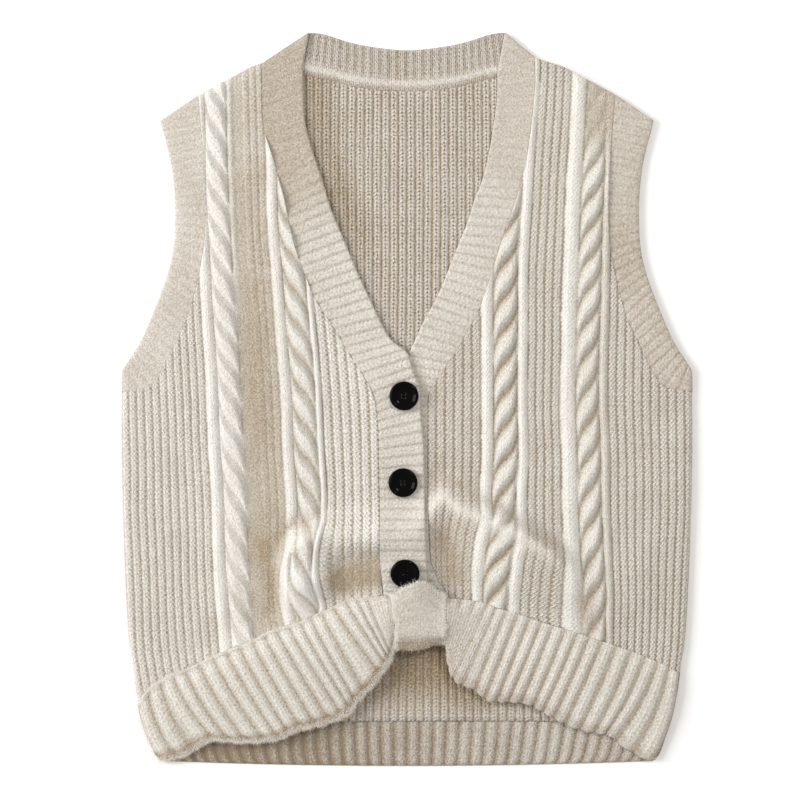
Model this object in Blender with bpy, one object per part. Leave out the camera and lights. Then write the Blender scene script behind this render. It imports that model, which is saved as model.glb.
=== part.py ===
"""Cable-knit sleeveless V-neck cardigan, fastened with three buttons and laid flat, its front hem arched up.

Lengths in the tables are millimetres. x runs outward from the centre front, so one rule serves both sides
(side is -1 for the half at -X, +1 for the half at +X). y runs up from the back hem to the neck corner.
The garment lies on its back on z = 0, with the neck towards +Y.
"""

import math
from bisect import bisect_right
from collections import namedtuple

import bmesh
import bpy
from mathutils import Matrix, Vector
from mathutils.geometry import delaunay_2d_cdt

MM = 0.001
LENGTH = 586.0  # back hem to neck corner
GAP = 0.3  # between sewn pieces
FRAY = 0.25  # points closer than this become one

BACK_WALL = 1.9
BACK_RIB = 1.1
BACK_HEM_RIB = 1.2
BACK_HEM_TOP = 35.6
SEAM_RIDGE = 1.2  # linking ridge on the inside of the neckband's seam
REST = 3.3  # underside of the front where it lies on the back
FRONT_WALL = 2.4
FRONT_RIB = 1.1
SMOOTH_RIB = 1.8
CABLE_RISE = 3.4
CABLE_TWIST = 23.2  # length of one crossing
CABLE_SLANT = 0.5  # share of a crossing that a strand climbs from the middle to the edge
BAND_WALL = 2.5
BAND_RIB = 0.8
HEM_WALL = 2.9
HEM_RIB = 1.7
LAP = 3.7  # lift of the top front band over the one under it
LAP_UNDER = 2.7  # wall of the band under it
UNDER_END_RISE = 6.0  # lift of that band's lower end, drawn up with the hem
EDGE_SOFT = 9.0  # width over which the outer edge rounds down
EDGE_DROP = 1.4

BACK_PITCH = 7.5
BAND_PITCH = 7.0
NECK_PITCH = 7.6
ARM_PITCH = 6.6
HEM_PITCH = 10.4

BUTTON_THICK = 4.4
BUTTON_SIDES = 20
HOLE_RADIUS = 0.9
HOLE_SPREAD = 1.9

Point = namedtuple("Point", "x y")
Band = namedtuple("Band", "edge_x edge_y seam_x seam_y")
Hem = namedtuple("Hem", "top_x top_y low_x low_y top_z crest_z low_z bow")
Wale = namedtuple("Wale", "y side outer inner front")
Fold = namedtuple("Fold", "x foot_y crest_y crest_z shelf_y shelf_z seam_z")
Stripe = namedtuple("Stripe", "kind width count")
Turn = namedtuple("Turn", "y z inner_y inner_z")

# Half width of the laid garment at each height: hem corner, side, underarm, armhole edge, shoulder, neck corner.
OUTLINE = [
    Point(197.0, 4), Point(201.6, 9), Point(206.4, 22), Point(211.3, 38), Point(213.6, 47), Point(216.8, 62),
    Point(218.8, 80), Point(222.0, 100), Point(225.6, 164), Point(227.6, 228), Point(228.0, 260),
    Point(227.8, 292), Point(227.4, 316), Point(217.6, 331), Point(209.8, 346), Point(202.8, 363),
    Point(195.6, 380), Point(190.4, 396), Point(186.8, 412), Point(185.2, 442), Point(186.0, 460),
    Point(187.8, 477), Point(191.5, 494), Point(197.0, 515), Point(184.0, 524), Point(170.0, 533.5),
    Point(155.0, 542), Point(140.0, 550), Point(124.0, 558.5), Point(104.0, 565.5), Point(94.0, 572),
    Point(86.0, 579), Point(77.6, 586),
]

# Sections of the armhole band, from the shoulder to the underarm.
ARMHOLE = [
    Band(197.0, 515, 166.0, 536), Band(191.5, 494, 164.0, 510), Band(187.8, 477, 161.8, 487),
    Band(186.0, 460, 160.7, 465), Band(185.2, 442, 160.2, 443), Band(185.5, 426, 161.0, 421),
    Band(187.2, 410, 164.3, 399), Band(191.5, 392, 169.6, 376), Band(198.0, 374, 176.5, 354),
    Band(206.5, 353, 185.5, 335.5), Band(214.0, 337, 193.5, 319), Band(221.5, 325.5, 205.0, 303),
    Band(227.4, 316, 227.8, 299),
]

# Sections of the back neckband, from the shoulder line to the centre back.
NECKBAND = [
    Band(77.6, 586, 106.0, 563.5), Band(72.0, 585.6, 94.0, 556.5), Band(64.0, 584, 80.0, 551.5),
    Band(52.0, 580, 62.0, 548), Band(32.0, 575.3, 36.0, 541.5), Band(0.0, 572, 0.0, 538.8),
]

# Sections of the front bands, from the shoulder down the V and the buttoned part to the dip above the hem.
FRONT_BAND = {
    -1: [
        Band(78.0, 586, 116.0, 561), Band(83.0, 554, 116.0, 540), Band(82.4, 533, 115.6, 520),
        Band(81.6, 518, 113.6, 506), Band(77.6, 499, 107.6, 488), Band(73.2, 485, 102.4, 470),
        Band(67.2, 467, 97.6, 452), Band(60.4, 444.5, 93.2, 431), Band(52.0, 424.5, 88.4, 411),
        Band(44.8, 407, 82.0, 394), Band(37.6, 390, 75.2, 377), Band(29.6, 373, 66.4, 362),
        Band(22.0, 357, 57.0, 348), Band(13.0, 341, 47.6, 331.5), Band(-0.8, 329, 38.4, 317),
        Band(-5.0, 315, 29.6, 303), Band(-9.6, 302, 24.8, 288), Band(-11.2, 280, 23.0, 271),
        Band(-13.6, 248, 22.4, 244), Band(-14.4, 194, 21.6, 194), Band(-15.2, 171, 21.6, 171),
        Band(-16.0, 141.0, 19.0, 139.0),
    ],
    1: [
        Band(78.0, 586, 102.0, 565), Band(72.0, 550, 102.4, 548), Band(72.0, 536, 101.6, 536),
        Band(69.6, 516, 100.0, 519), Band(67.2, 500, 97.6, 500), Band(64.0, 484, 95.0, 482),
        Band(60.0, 468, 91.0, 467), Band(53.6, 452, 86.0, 450), Band(48.8, 436, 80.0, 433),
        Band(42.4, 420, 74.4, 417), Band(36.0, 404, 68.5, 397), Band(29.6, 388, 62.4, 378),
        Band(22.4, 372, 55.2, 360), Band(13.6, 356, 47.2, 346), Band(7.2, 342, 39.6, 332.5),
        Band(0.8, 329, 32.8, 322), Band(-7.0, 318, 26.4, 312), Band(-12.0, 304, 18.8, 301),
        Band(-13.0, 291, 16.4, 290), Band(-13.0, 248, 16.4, 248), Band(-12.0, 194, 17.0, 194),
        Band(-11.0, 171, 18.0, 171), Band(-6.0, 150, 24.4, 150), Band(0.0, 138.5, 31.0, 138.5),
        Band(4.0, 124, 29.0, 123), Band(5.0, 110, 27.5, 109.5),
    ],
}
PLAIN_ROWS = [270, 400, 600]  # heights of corners on the flat stretch of the ribs
LAPPED_FROM = 330.0  # below this the band at +X lies under the one at -X

# Sections of the front hem rib, from the centre out to the side seam. Heights are those of its underside.
FRONT_HEM = {
    -1: [
        Hem(15.2, 136.4, 9.6, 101.2, 11.5, 16.5, 13.5, 0), Hem(23.0, 136.0, 12.0, 88.0, 10.5, 16.5, 13.0, 0),
        Hem(32.0, 135.6, 17.0, 78.8, 9.5, 16.0, 12.5, 0), Hem(45.6, 134.0, 29.6, 62.8, 9.0, 15.5, 11.5, 0),
        Hem(60.0, 127.6, 39.2, 53.2, 8.5, 15.0, 11.0, 0), Hem(71.2, 122.8, 46.4, 42.8, 8.5, 15.0, 10.5, 0),
        Hem(85.6, 116.4, 63.2, 35.6, 8.0, 14.5, 10.0, 0), Hem(108.8, 109.2, 88.0, 29.2, 7.5, 13.5, 9.5, 0),
        Hem(125.6, 100.4, 104.8, 22.0, 7.0, 12.5, 9.5, 0), Hem(150.4, 90.8, 129.6, 20.4, 6.5, 11.5, 9.0, 1),
        Hem(173.6, 79.6, 152.8, 22.0, 6.0, 9.5, 7.5, 2), Hem(194.4, 70.8, 173.6, 10.8, 5.5, 7.0, 5.0, 3),
        Hem(204.8, 63.6, 184.0, 7.5, 4.6, 5.2, 4.2, 3), Hem(215.2, 50.4, 197.6, 4.4, 3.7, 3.8, 3.7, 2.6),
    ],
    1: [
        Hem(34.4, 134.8, 29.6, 105.2, 9.5, 16.0, 13.5, 0), Hem(44.0, 134.0, 30.5, 92.0, 9.0, 16.0, 13.0, 0),
        Hem(53.6, 133.2, 32.8, 80.0, 9.0, 15.5, 12.5, 0), Hem(64.0, 130.5, 38.4, 69.2, 9.0, 15.0, 12.0, 0),
        Hem(74.4, 126.8, 53.6, 62.0, 9.0, 14.5, 10.5, 0), Hem(87.0, 123.0, 66.0, 53.0, 9.0, 14.0, 9.5, 0),
        Hem(101.6, 118.0, 81.0, 52.5, 8.5, 13.5, 9.0, 0), Hem(115.0, 113.5, 97.6, 50.0, 8.0, 13.0, 8.5, 0),
        Hem(128.8, 109.2, 110.0, 43.0, 7.5, 12.5, 8.0, 0), Hem(142.0, 105.0, 124.0, 35.5, 7.0, 12.0, 7.5, 0),
        Hem(156.0, 100.4, 137.0, 30.0, 6.5, 11.0, 7.0, 0), Hem(170.0, 95.5, 149.0, 27.5, 6.0, 10.0, 6.5, 1),
        Hem(183.2, 90.8, 160.0, 25.5, 5.5, 8.5, 5.5, 2), Hem(198.4, 84.4, 172.0, 16.5, 4.6, 6.2, 4.6, 3),
        Hem(208.0, 80.0, 184.0, 9.0, 4.0, 4.8, 4.0, 4), Hem(217.0, 74.5, 197.4, 4.4, 3.7, 3.8, 3.7, 4.2),
    ],
}
# Rise of the hem from its join to its rolled lower edge: share of the height, share of the way up to the crest
# or down to the edge (above 1 is past the crest), and how much of the wall is left.
HEM_RISE = [(0.0, 0.0, 1.0), (0.13, 0.6, 1.0), (0.5, 1.05, 1.0), (0.88, 1.6, 0.95), (1.0, 2.0, 0.45)]

# Where the lines of stitches run: distance out from the centre of the side, the two cables and the front seam.
WALES = {
    -1: [
        Wale(52, 216, 122.0, 80.0, 18.0), Wale(100, 223, 128.4, 80.0, 20.0), Wale(132, 224, 131.6, 79.2, 21.0),
        Wale(172, 225, 134.8, 78.4, 21.6), Wale(212, 227, 136.0, 76.8, 21.6), Wale(252, 227, 138.8, 79.2, 22.4),
        Wale(292, 227, 140.8, 81.2, 24.0), Wale(372, 228, 146.4, 87.6, 31.0), Wale(452, 228, 150.4, 93.6, 37.0),
        Wale(560, 228, 153.6, 96.0, 40.0),
    ],
    1: [
        Wale(60, 217, 150.0, 80.0, 24.0), Wale(100, 222, 151.2, 77.0, 22.0), Wale(132, 224, 151.2, 76.4, 20.0),
        Wale(172, 226, 148.8, 76.4, 18.0), Wale(212, 228, 146.4, 76.8, 16.5), Wale(252, 228, 145.6, 79.2, 16.0),
        Wale(292, 228, 144.0, 78.8, 16.0), Wale(372, 228, 144.8, 78.8, 16.0), Wale(452, 228, 148.0, 82.0, 20.0),
        Wale(560, 228, 153.6, 88.0, 26.0),
    ],
}
# What is knitted between the front seam and the side, at chest width.
STRIPES = {
    -1: [
        Stripe("ribs", 43.2, 6), Stripe("smooth", 5.2, 1), Stripe("cable", 18.8, 1), Stripe("smooth", 9.2, 1),
        Stripe("ribs", 24.0, 3), Stripe("trough", 7.0, 1), Stripe("cable", 18.8, 1), Stripe("smooth", 10.0, 1),
        Stripe("ribs", 68.0, 9),
    ],
    1: [
        Stripe("ribs", 43.0, 6), Stripe("smooth", 10.0, 1), Stripe("cable", 19.4, 1), Stripe("smooth", 8.8, 1),
        Stripe("ribs", 26.0, 3), Stripe("smooth", 12.0, 1), Stripe("cable", 19.4, 1), Stripe("smooth", 8.0, 1),
        Stripe("ribs", 65.0, 8),
    ],
}

# Sections of the fold that the raised hem pushes up in the front, from one side to the other. x is signed here.
FOLDS = [
    Fold(-228.0, 150, 130, 3.3, 110, 3.3, 3.6), Fold(-150.0, 150, 130, 3.3, 110, 3.3, 4.6),
    Fold(-104.0, 178, 160, 3.5, 130, 3.4, 5.4), Fold(-98.0, 183, 163, 8.0, 140, 7.0, 6.6),
    Fold(-93.0, 186, 166, 12.5, 146, 11.5, 7.2), Fold(-80.0, 192, 175, 15.0, 150, 14.5, 7.5),
    Fold(-65.0, 200, 179, 16.0, 158, 14.5, 7.8), Fold(-50.0, 208, 180, 16.3, 164, 12.5, 8.0),
    Fold(-26.0, 216, 182, 16.5, 168, 12.5, 8.0), Fold(0.0, 220, 184, 16.0, 166, 12.8, 8.0),
    Fold(16.0, 228, 194, 14.5, 168, 11.5, 8.2), Fold(31.0, 240, 210, 13.5, 176, 9.5, 8.6),
    Fold(46.0, 232, 203, 14.5, 165, 13.0, 8.8), Fold(66.0, 224, 195, 16.0, 157, 15.0, 8.8),
    Fold(90.0, 216, 184, 16.0, 149, 14.0, 8.4), Fold(114.0, 200, 169, 14.0, 141, 12.0, 7.6),
    Fold(134.0, 176, 153, 9.5, 133, 7.5, 6.6), Fold(154.0, 164, 144, 6.0, 125, 5.0, 5.6),
    Fold(176.0, 150, 130, 3.8, 110, 3.6, 4.6), Fold(228.0, 150, 130, 3.3, 110, 3.3, 3.6),
]

# The end of the top band, folded over on itself just under the lowest button. For each step along the band:
# y and z of its outer face, y and z of its inner face.
TURNED_END = [
    Turn(-3.6, 16.2, -6.0, 12.4), Turn(-4.4, 18.8, -7.0, 15.5), Turn(-3.2, 21.6, -6.4, 21.5),
    Turn(0.0, 23.2, -3.6, 22.4), Turn(-1.6, 24.9, -5.4, 22.6), Turn(-9.0, 25.6, -10.5, 22.8),
    Turn(-23.0, 25.0, -23.0, 22.3), Turn(-35.0, 23.0, -34.0, 20.5), Turn(-42.0, 18.8, -39.0, 17.6),
    Turn(-44.0, 15.2, -41.5, 15.0),
]
TURN_EDGE = [Point(-26.0, 145.5), Point(-11.0, 150.0), Point(0.0, 146.5), Point(9.6, 144.0)]
TURN_START = 16.0  # x of the band's free edge where it turns
TURN_WIDTH = 35.0
TURN_SHIFT = 9.7  # how far sideways the folded end slips
TURN_LEVEL = 146.5  # y that the rolled end is measured from

BUTTON_SPOTS = {"button_top": Point(-2.4, 295.6), "button_middle": Point(-3.2, 226.8), "button_bottom": Point(-1.6, 155.8)}
# Half section of a button: distance from its axis, height over its flat back.
BUTTON_PROFILE = [
    Point(8.4, 0.0), Point(10.9, 0.7), Point(11.6, 1.9), Point(11.4, 3.2), Point(10.6, 4.2), Point(9.8, 4.4),
    Point(9.0, 4.1), Point(7.9, 3.1), Point(5.0, 2.5),
]


class Curve:
    """A smooth curve through a table's points that never overshoots them."""

    def __init__(self, places, values):
        self.places, self.values = places, values
        steps = [b - a for a, b in zip(places, places[1:])]
        rises = [(b - a) / step for a, b, step in zip(values, values[1:], steps)]
        inner = [0.0 if a * b <= 0 else 2 * a * b / (a + b) for a, b in zip(rises, rises[1:])]
        self.slopes = [rises[0], *inner, rises[-1]]

    def __call__(self, place):
        place = min(max(place, self.places[0]), self.places[-1])
        n = min(bisect_right(self.places, place) - 1, len(self.places) - 2)
        step = self.places[n + 1] - self.places[n]
        t = (place - self.places[n]) / step
        rest = 1 - t
        return (
            (1 + 2 * t) * rest * rest * self.values[n]
            + t * rest * rest * step * self.slopes[n]
            + t * t * (3 - 2 * t) * self.values[n + 1]
            - t * t * rest * step * self.slopes[n + 1]
        )


def curves(table, key=None):
    """One curve for each column, along the column named key or else along the row number."""
    places = [getattr(row, key) for row in table] if key else list(range(len(table)))
    return type(table[0])(*[Curve(places, list(column)) for column in zip(*table)])


def ease(t):
    t = min(max(t, 0.0), 1.0)
    return t * t * (3 - 2 * t)


outline_half = Curve([p.y for p in OUTLINE], [p.x for p in OUTLINE])
fold_curves = curves(FOLDS, "x")
wale_curves = {side: curves(rows, "y") for side, rows in WALES.items()}
hem_curves = {side: curves(rows) for side, rows in FRONT_HEM.items()}


def hem_top_points(side):
    return [(row.top_x, row.top_y) for row in FRONT_HEM[side]]


def seam_height(x):
    """y of the join between the front and its hem."""
    side = -1 if x < 0 else 1
    tops = sorted(hem_top_points(side))
    return Curve([p[0] for p in tops], [p[1] for p in tops])(abs(x))


def edge_fall(x, y):
    """How far a wall rounds down towards the garment's outer edge, from 0 inside to 1 at the edge."""
    slant = 0.55 if y > 515 else 1.0
    inside = (outline_half(y) - abs(x)) * slant
    t = 1 - min(max(inside / EDGE_SOFT, 0.0), 1.0)
    return 1 - math.sqrt(max(1 - t * t, 0.0)) if t > 0 else 0.0


def front_floor(x, y):
    """Underside of the front layer, without bands that lap."""
    row = Fold(*[column(x) for column in fold_curves])
    seam_y = seam_height(x)
    if y >= row.crest_y:
        height = REST + (row.crest_z - REST) * ease((row.foot_y - y) / (row.foot_y - row.crest_y))
    elif y >= row.shelf_y:
        height = row.crest_z + (row.shelf_z - row.crest_z) * ease((row.crest_y - y) / (row.crest_y - row.shelf_y))
    else:
        drop = max(row.shelf_y - seam_y, 4.0)
        height = row.shelf_z + (row.seam_z - row.shelf_z) * ease((row.shelf_y - y) / drop)
    return height - EDGE_DROP * edge_fall(x, y)


def left_floor(x, y):
    """Underside of the half at -X, which climbs towards the centre to lie on the other band."""
    return front_floor(x, y) + LAP * ease((x + 62) / 48) * ease((LAPPED_FROM + 16 - y) / 16)


def floor_of(side, x, y):
    return left_floor(x, y) if side < 0 else front_floor(x, y)


def steepness(x, y):
    """How much thicker a slanting wall is when it is measured straight up."""
    reach = 1.5
    across = (front_floor(x + reach, y) - front_floor(x - reach, y)) / (2 * reach)
    along = (front_floor(x, y + reach) - front_floor(x, y - reach)) / (2 * reach)
    return min(math.sqrt(1 + across * across + along * along), 1.9)


def back_top(x, y, relief):
    return BACK_WALL + relief - (EDGE_DROP + 0.3 * relief) * edge_fall(x, y)


def wale_of(side, x, y):
    """Distance from the front seam to the side, counted at chest width, of a point of the front."""
    chest = wale_curves[side]
    row = Wale(*[column(y) for column in chest])
    marks = [row.front, row.inner, row.outer, row.side]
    base = [chest.front(252), chest.inner(252), chest.outer(252), chest.side(252)]
    n = min(max(bisect_right(marks, x) - 1, 0), 2)
    share = (x - marks[n]) / (marks[n + 1] - marks[n])
    return base[n] + share * (base[n + 1] - base[n]) - base[0]


def wale_line(side, wale, y):
    """The inverse: how far out from the centre a line of stitches is at height y."""
    chest = wale_curves[side]
    row = Wale(*[column(y) for column in chest])
    marks = [row.front, row.inner, row.outer, row.side]
    base = [chest.front(252), chest.inner(252), chest.outer(252), chest.side(252)]
    place = wale + base[0]
    n = min(max(bisect_right(base, place) - 1, 0), 2)
    share = (place - base[n]) / (base[n + 1] - base[n])
    return marks[n] + share * (marks[n + 1] - marks[n])


def stripe_spans(side):
    """Start, end and stripe of everything knitted across the front, shared out over its chest width."""
    chest = wale_curves[side]
    width = chest.side(252) - chest.front(252)
    total = sum(stripe.width for stripe in STRIPES[side])
    start = 0.0
    for stripe in STRIPES[side]:
        end = start + stripe.width * width / total
        yield start, end, stripe
        start = end


def cable_relief(share, y):
    """Two strands that cross over each other: share runs 0 to 1 over the cable's width."""
    across = 2 * share - 1
    phase = (y / CABLE_TWIST - CABLE_SLANT * across) % 1.0
    strand = 1 - abs(2 * phase - 1)
    return CABLE_RISE * (1 - across ** 4) * (0.25 + 0.75 * strand)


def front_relief(side, x, y):
    wale = wale_of(side, x, y)
    for start, end, stripe in stripe_spans(side):
        if start <= wale <= end or (stripe is STRIPES[side][-1] and wale > end):
            share = (wale - start) / (end - start)
            if stripe.kind == "ribs":
                phase = (share * stripe.count) % 1.0
                return FRONT_RIB * (1 - abs(2 * phase - 1))
            if stripe.kind == "smooth":
                return SMOOTH_RIB * (1 - abs(2 * share - 1))
            if stripe.kind == "cable":
                return cable_relief(share, y)
            return 0.0
    return 0.0


def to_world(x, y, z):
    return Vector((x, y - LENGTH / 2, z)) * MM


def piece(name, bm, material):
    mesh = bpy.data.meshes.new(name)
    bm.to_mesh(mesh)
    bm.free()
    mesh.materials.append(material)
    obj = bpy.data.objects.new(name, mesh)
    bpy.context.collection.objects.link(obj)
    return obj


def finish_material(name, colour, roughness, coat=0.0):
    material = bpy.data.materials.new(name)
    material.use_nodes = True
    shader = material.node_tree.nodes["Principled BSDF"]
    shader.inputs["Base Color"].default_value = (*colour, 1.0)
    shader.inputs["Roughness"].default_value = roughness
    shader.inputs["Metallic"].default_value = 0.0
    shader.inputs["Coat Weight"].default_value = coat
    material.diffuse_color = (*colour, 1.0)
    return material


def wall_from_grid(name, outer, inner, material):
    """A closed wall between two grids of points, row by row, outer face up."""
    bm = bmesh.new()
    tops = [[bm.verts.new(to_world(*p)) for p in row] for row in outer]
    unders = [[bm.verts.new(to_world(*p)) for p in row] for row in inner]
    last_row, last = len(outer) - 1, len(outer[0]) - 1
    for r in range(last_row):
        for c in range(last):
            bm.faces.new((tops[r][c], tops[r][c + 1], tops[r + 1][c + 1], tops[r + 1][c]))
            bm.faces.new((unders[r][c], unders[r + 1][c], unders[r + 1][c + 1], unders[r][c + 1]))
        bm.faces.new((tops[r][0], tops[r + 1][0], unders[r + 1][0], unders[r][0]))
        bm.faces.new((tops[r][last], unders[r][last], unders[r + 1][last], tops[r + 1][last]))
    for c in range(last):
        bm.faces.new((tops[0][c], unders[0][c], unders[0][c + 1], tops[0][c + 1]))
        bm.faces.new((tops[last_row][c], tops[last_row][c + 1], unders[last_row][c + 1], unders[last_row][c]))
    bmesh.ops.recalc_face_normals(bm, faces=bm.faces)
    bmesh.ops.triangulate(bm, faces=bm.faces)
    return piece(name, bm, material)


def inset_ring(ring, distance):
    """The closed ring moved inward by a distance; it runs anticlockwise."""
    moved = []
    for n, here in enumerate(ring):
        before, after = ring[n - 1], ring[(n + 1) % len(ring)]
        first = (Vector(here) - Vector(before)).normalized()
        second = (Vector(after) - Vector(here)).normalized()
        normals = [Vector((-d.y, d.x)) for d in (first, second)]
        middle = (normals[0] + normals[1]).normalized()
        moved.append(Vector(here) + middle * distance / max(middle.dot(normals[0]), 0.4))
    return moved


def area_of(ring):
    return sum(a[0] * b[1] - b[0] * a[1] for a, b in zip(ring, ring[1:] + ring[:1])) / 2


def creased(ring, lines):
    """Triangles of the inside of a ring, with creases along the lines, as points and corner numbers."""
    points, edges = [Vector(p) for p in ring], []
    for line in lines:
        start = len(points)
        points += [Vector(p) for p in line]
        edges += [(n, n + 1) for n in range(start, len(points) - 1)]
    found = delaunay_2d_cdt(points, edges, [list(range(len(ring)))], 0, 1e-4)
    return found[0], [face for face, sources in zip(found[2], found[5]) if 0 in sources]


def boundary_loop(bm):
    """The corners of the sheet's rim, in order."""
    start = next(edge for edge in bm.edges if edge.is_boundary)
    loop, edge, vert = [start.verts[0]], start, start.verts[1]
    while vert is not loop[0]:
        loop.append(vert)
        edge = next(e for e in vert.link_edges if e.is_boundary and e is not edge)
        vert = edge.other_vert(vert)
    return loop


def panel(name, ring, creases, inner_points, outer_z, inner_z, material):
    """A closed cloth wall inside a ring: creased outer face, plain inner face, upright rim."""
    if area_of(ring) < 0:
        ring = ring[::-1]
    ring = inset_ring(ring, GAP)
    bm = bmesh.new()
    points, faces = creased(ring, creases)
    verts = [bm.verts.new((p.x, p.y, 0)) for p in points]
    for face in faces:
        bm.faces.new([verts[n] for n in face])
    bmesh.ops.remove_doubles(bm, verts=bm.verts, dist=FRAY)
    bmesh.ops.delete(bm, geom=[v for v in bm.verts if not v.link_faces], context="VERTS")
    rim = boundary_loop(bm)
    rim_ring = [(v.co.x, v.co.y) for v in rim]
    if area_of(rim_ring) < 0:
        rim, rim_ring = rim[::-1], rim_ring[::-1]
    rim_box = [Vector(p) for p in rim_ring]
    clear = [p for p in inner_points if is_inside(p, rim_ring) and min((Vector(p) - q).length for q in rim_box) > 4.0]
    points, faces = creased(rim_ring, [[p] for p in clear])
    under = [bm.verts.new((p.x, p.y, -1)) for p in points]
    for face in faces:
        bm.faces.new([under[n] for n in reversed(face)])
    for n, vert in enumerate(rim):
        after = (n + 1) % len(rim)
        bm.faces.new((vert, under[n], under[after], rim[after]))
    for vert in bm.verts:
        x, y, level = vert.co
        vert.co = to_world(x, y, outer_z(x, y) if level == 0 else inner_z(x, y))
    bmesh.ops.recalc_face_normals(bm, faces=bm.faces)
    bmesh.ops.triangulate(bm, faces=bm.faces)
    return piece(name, bm, material)


def is_inside(point, ring):
    x, y = point
    inside = False
    for (ax, ay), (bx, by) in zip(ring, ring[1:] + ring[:1]):
        if (ay > y) != (by > y) and x < ax + (y - ay) * (bx - ax) / (by - ay):
            inside = not inside
    return inside


def band_reach(edge_x, edge_y, seam_x, seam_y, last, finest=24):
    """Finely spaced row numbers along a band, and how far along its middle each one lies."""
    numbers = [n / finest for n in range(last * finest + 1)]
    middles = [Vector((edge_x(t) + seam_x(t), edge_y(t) + seam_y(t))) / 2 for t in numbers]
    reach = [0.0]
    for a, b in zip(middles, middles[1:]):
        reach.append(reach[-1] + (b - a).length)
    return numbers, reach


def number_at(goal, numbers, reach):
    """The row number at a distance along a band."""
    n = min(max(bisect_right(reach, goal) - 1, 0), len(numbers) - 2)
    return numbers[n] + (numbers[n + 1] - numbers[n]) * (goal - reach[n]) / (reach[n + 1] - reach[n])


def band_marks(rows, pitch):
    """Row numbers along a band where its ribs start, crest and end, evenly spaced along its middle."""
    numbers, reach = band_reach(*curves(rows), len(rows) - 1)
    halves = 2 * round(reach[-1] / pitch)
    return [number_at(reach[-1] * half / halves, numbers, reach) for half in range(halves + 1)]


def band_rows(rows, pitch, shares):
    """For each rib line of a band: whether it is a crest, and its points from the free edge to the seam."""
    columns = curves(rows)
    for number, t in enumerate(band_marks(rows, pitch)):
        edge = Vector((columns.edge_x(t), columns.edge_y(t)))
        seam = Vector((columns.seam_x(t), columns.seam_y(t)))
        yield number % 2 == 1, [edge.lerp(seam, share) for share in shares]


def seam_line(rows, pitch, step=2):
    """The seam edge of a band, at every rib."""
    columns = curves(rows)
    marks = band_marks(rows, pitch)[::step]
    return [(columns.seam_x(t), columns.seam_y(t)) for t in marks]


def outline_stretch(low, high):
    """Points of the outer edge between two heights, both left out."""
    return [(p.x, p.y) for p in OUTLINE if low + 2 < p.y < high - 2]


def build_back(wool):
    arm_seam = seam_line(ARMHOLE, ARM_PITCH, 1)
    neck_seam = [p for p in seam_line(whole_neckband(), NECK_PITCH) if p[0] > 0]
    half = [(outline_half(BACK_HEM_TOP), BACK_HEM_TOP), *outline_stretch(BACK_HEM_TOP, 299), *arm_seam[::-1]]
    half += [(p.x, p.y) for p in OUTLINE if 533.5 < p.y < 564 and p.x < 160]
    half += neck_seam[::-1]
    ring = half + [(-x, y) for x, y in reversed(half)]
    ribs = round(2 * outline_half(260) / BACK_PITCH)
    half_pitch = outline_half(260) / ribs
    places = [(n - ribs) * half_pitch for n in range(1, 2 * ribs)]
    lines = [[(x, 0.0), (x, 600.0)] for x in places]

    def outer(x, y):
        phase = ((x + outline_half(260)) / (2 * half_pitch)) % 1.0
        return back_top(x, y, BACK_RIB * (1 - abs(2 * phase - 1)))

    panel("back_panel", ring, lines, [], outer, lambda x, y: 0.0, wool)


def build_back_hem(wool):
    ribs = round(2 * outline_half(20) / HEM_PITCH)
    corner, top_y = OUTLINE[0], BACK_HEM_TOP - GAP
    outer, inner = [], []
    for level in (1.0, 0.0):
        y_side = corner.y + (top_y - corner.y) * level
        outer_row, inner_row = [], []
        for half in range(2 * ribs + 1):
            x = (half / ribs - 1) * outline_half(y_side)
            bottom = corner.y * (x / corner.x) ** 2
            y = bottom + (top_y - bottom) * level
            top = back_top(x, y, BACK_HEM_RIB * (half % 2))
            outer_row.append((x, y, top * (0.75 if level == 0.0 else 1.0)))
            inner_row.append((x, y, 0.0))
        outer.append(outer_row)
        inner.append(inner_row)
    wall_from_grid("hem_back", outer, inner, wool)


def whole_neckband():
    """The neckband's sections from one shoulder to the other."""
    return [Band(-r.edge_x, r.edge_y, -r.seam_x, r.seam_y) for r in NECKBAND] + NECKBAND[-2::-1]


def build_neckband(wool):
    outer, inner = [], []
    shares = (0.0, 0.62, 0.8, 1.0)
    ridge = (0.0, 0.0, 1.0, 0.3)
    for crest, points in band_rows(whole_neckband(), NECK_PITCH, shares):
        row = []
        for p, share, raised in zip(points, shares, ridge):
            relief = (BACK_RIB if crest else 0.0) * (1 - raised) + SEAM_RIDGE * raised
            soft = 0.7 if share == 0.0 else 1.0
            row.append((p.x, p.y, back_top(p.x, p.y, relief) * soft))
        outer.append(row)
        inner.append([(p.x, p.y, 0.0) for p in points])
    wall_from_grid("back_neckband", outer, inner, wool)


def build_armhole(side, label, wool):
    shares = (0.0, 1.0)
    front, front_under, back, back_under = [], [], [], []
    for crest, points in band_rows(ARMHOLE, ARM_PITCH, shares):
        rows = ([], [], [], [])
        for p, share in zip(points, shares):
            x = side * p.x
            floor = REST - EDGE_DROP * edge_fall(x, p.y)
            lift = BAND_RIB if crest else 0.0
            soft = 0.75 if share == 0.0 else 1.0
            rows[0].append((x, p.y, floor + (BAND_WALL + lift) * soft))
            rows[1].append((x, p.y, floor))
            rows[2].append((x, p.y, back_top(x, p.y, lift)))
            rows[3].append((x, p.y, 0.0))
        for grid, row in zip((front, front_under, back, back_under), rows):
            grid.append(row)
    wall_from_grid(f"armhole_{label}_front", front, front_under, wool)
    wall_from_grid(f"armhole_{label}_back", back, back_under, wool)


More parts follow.
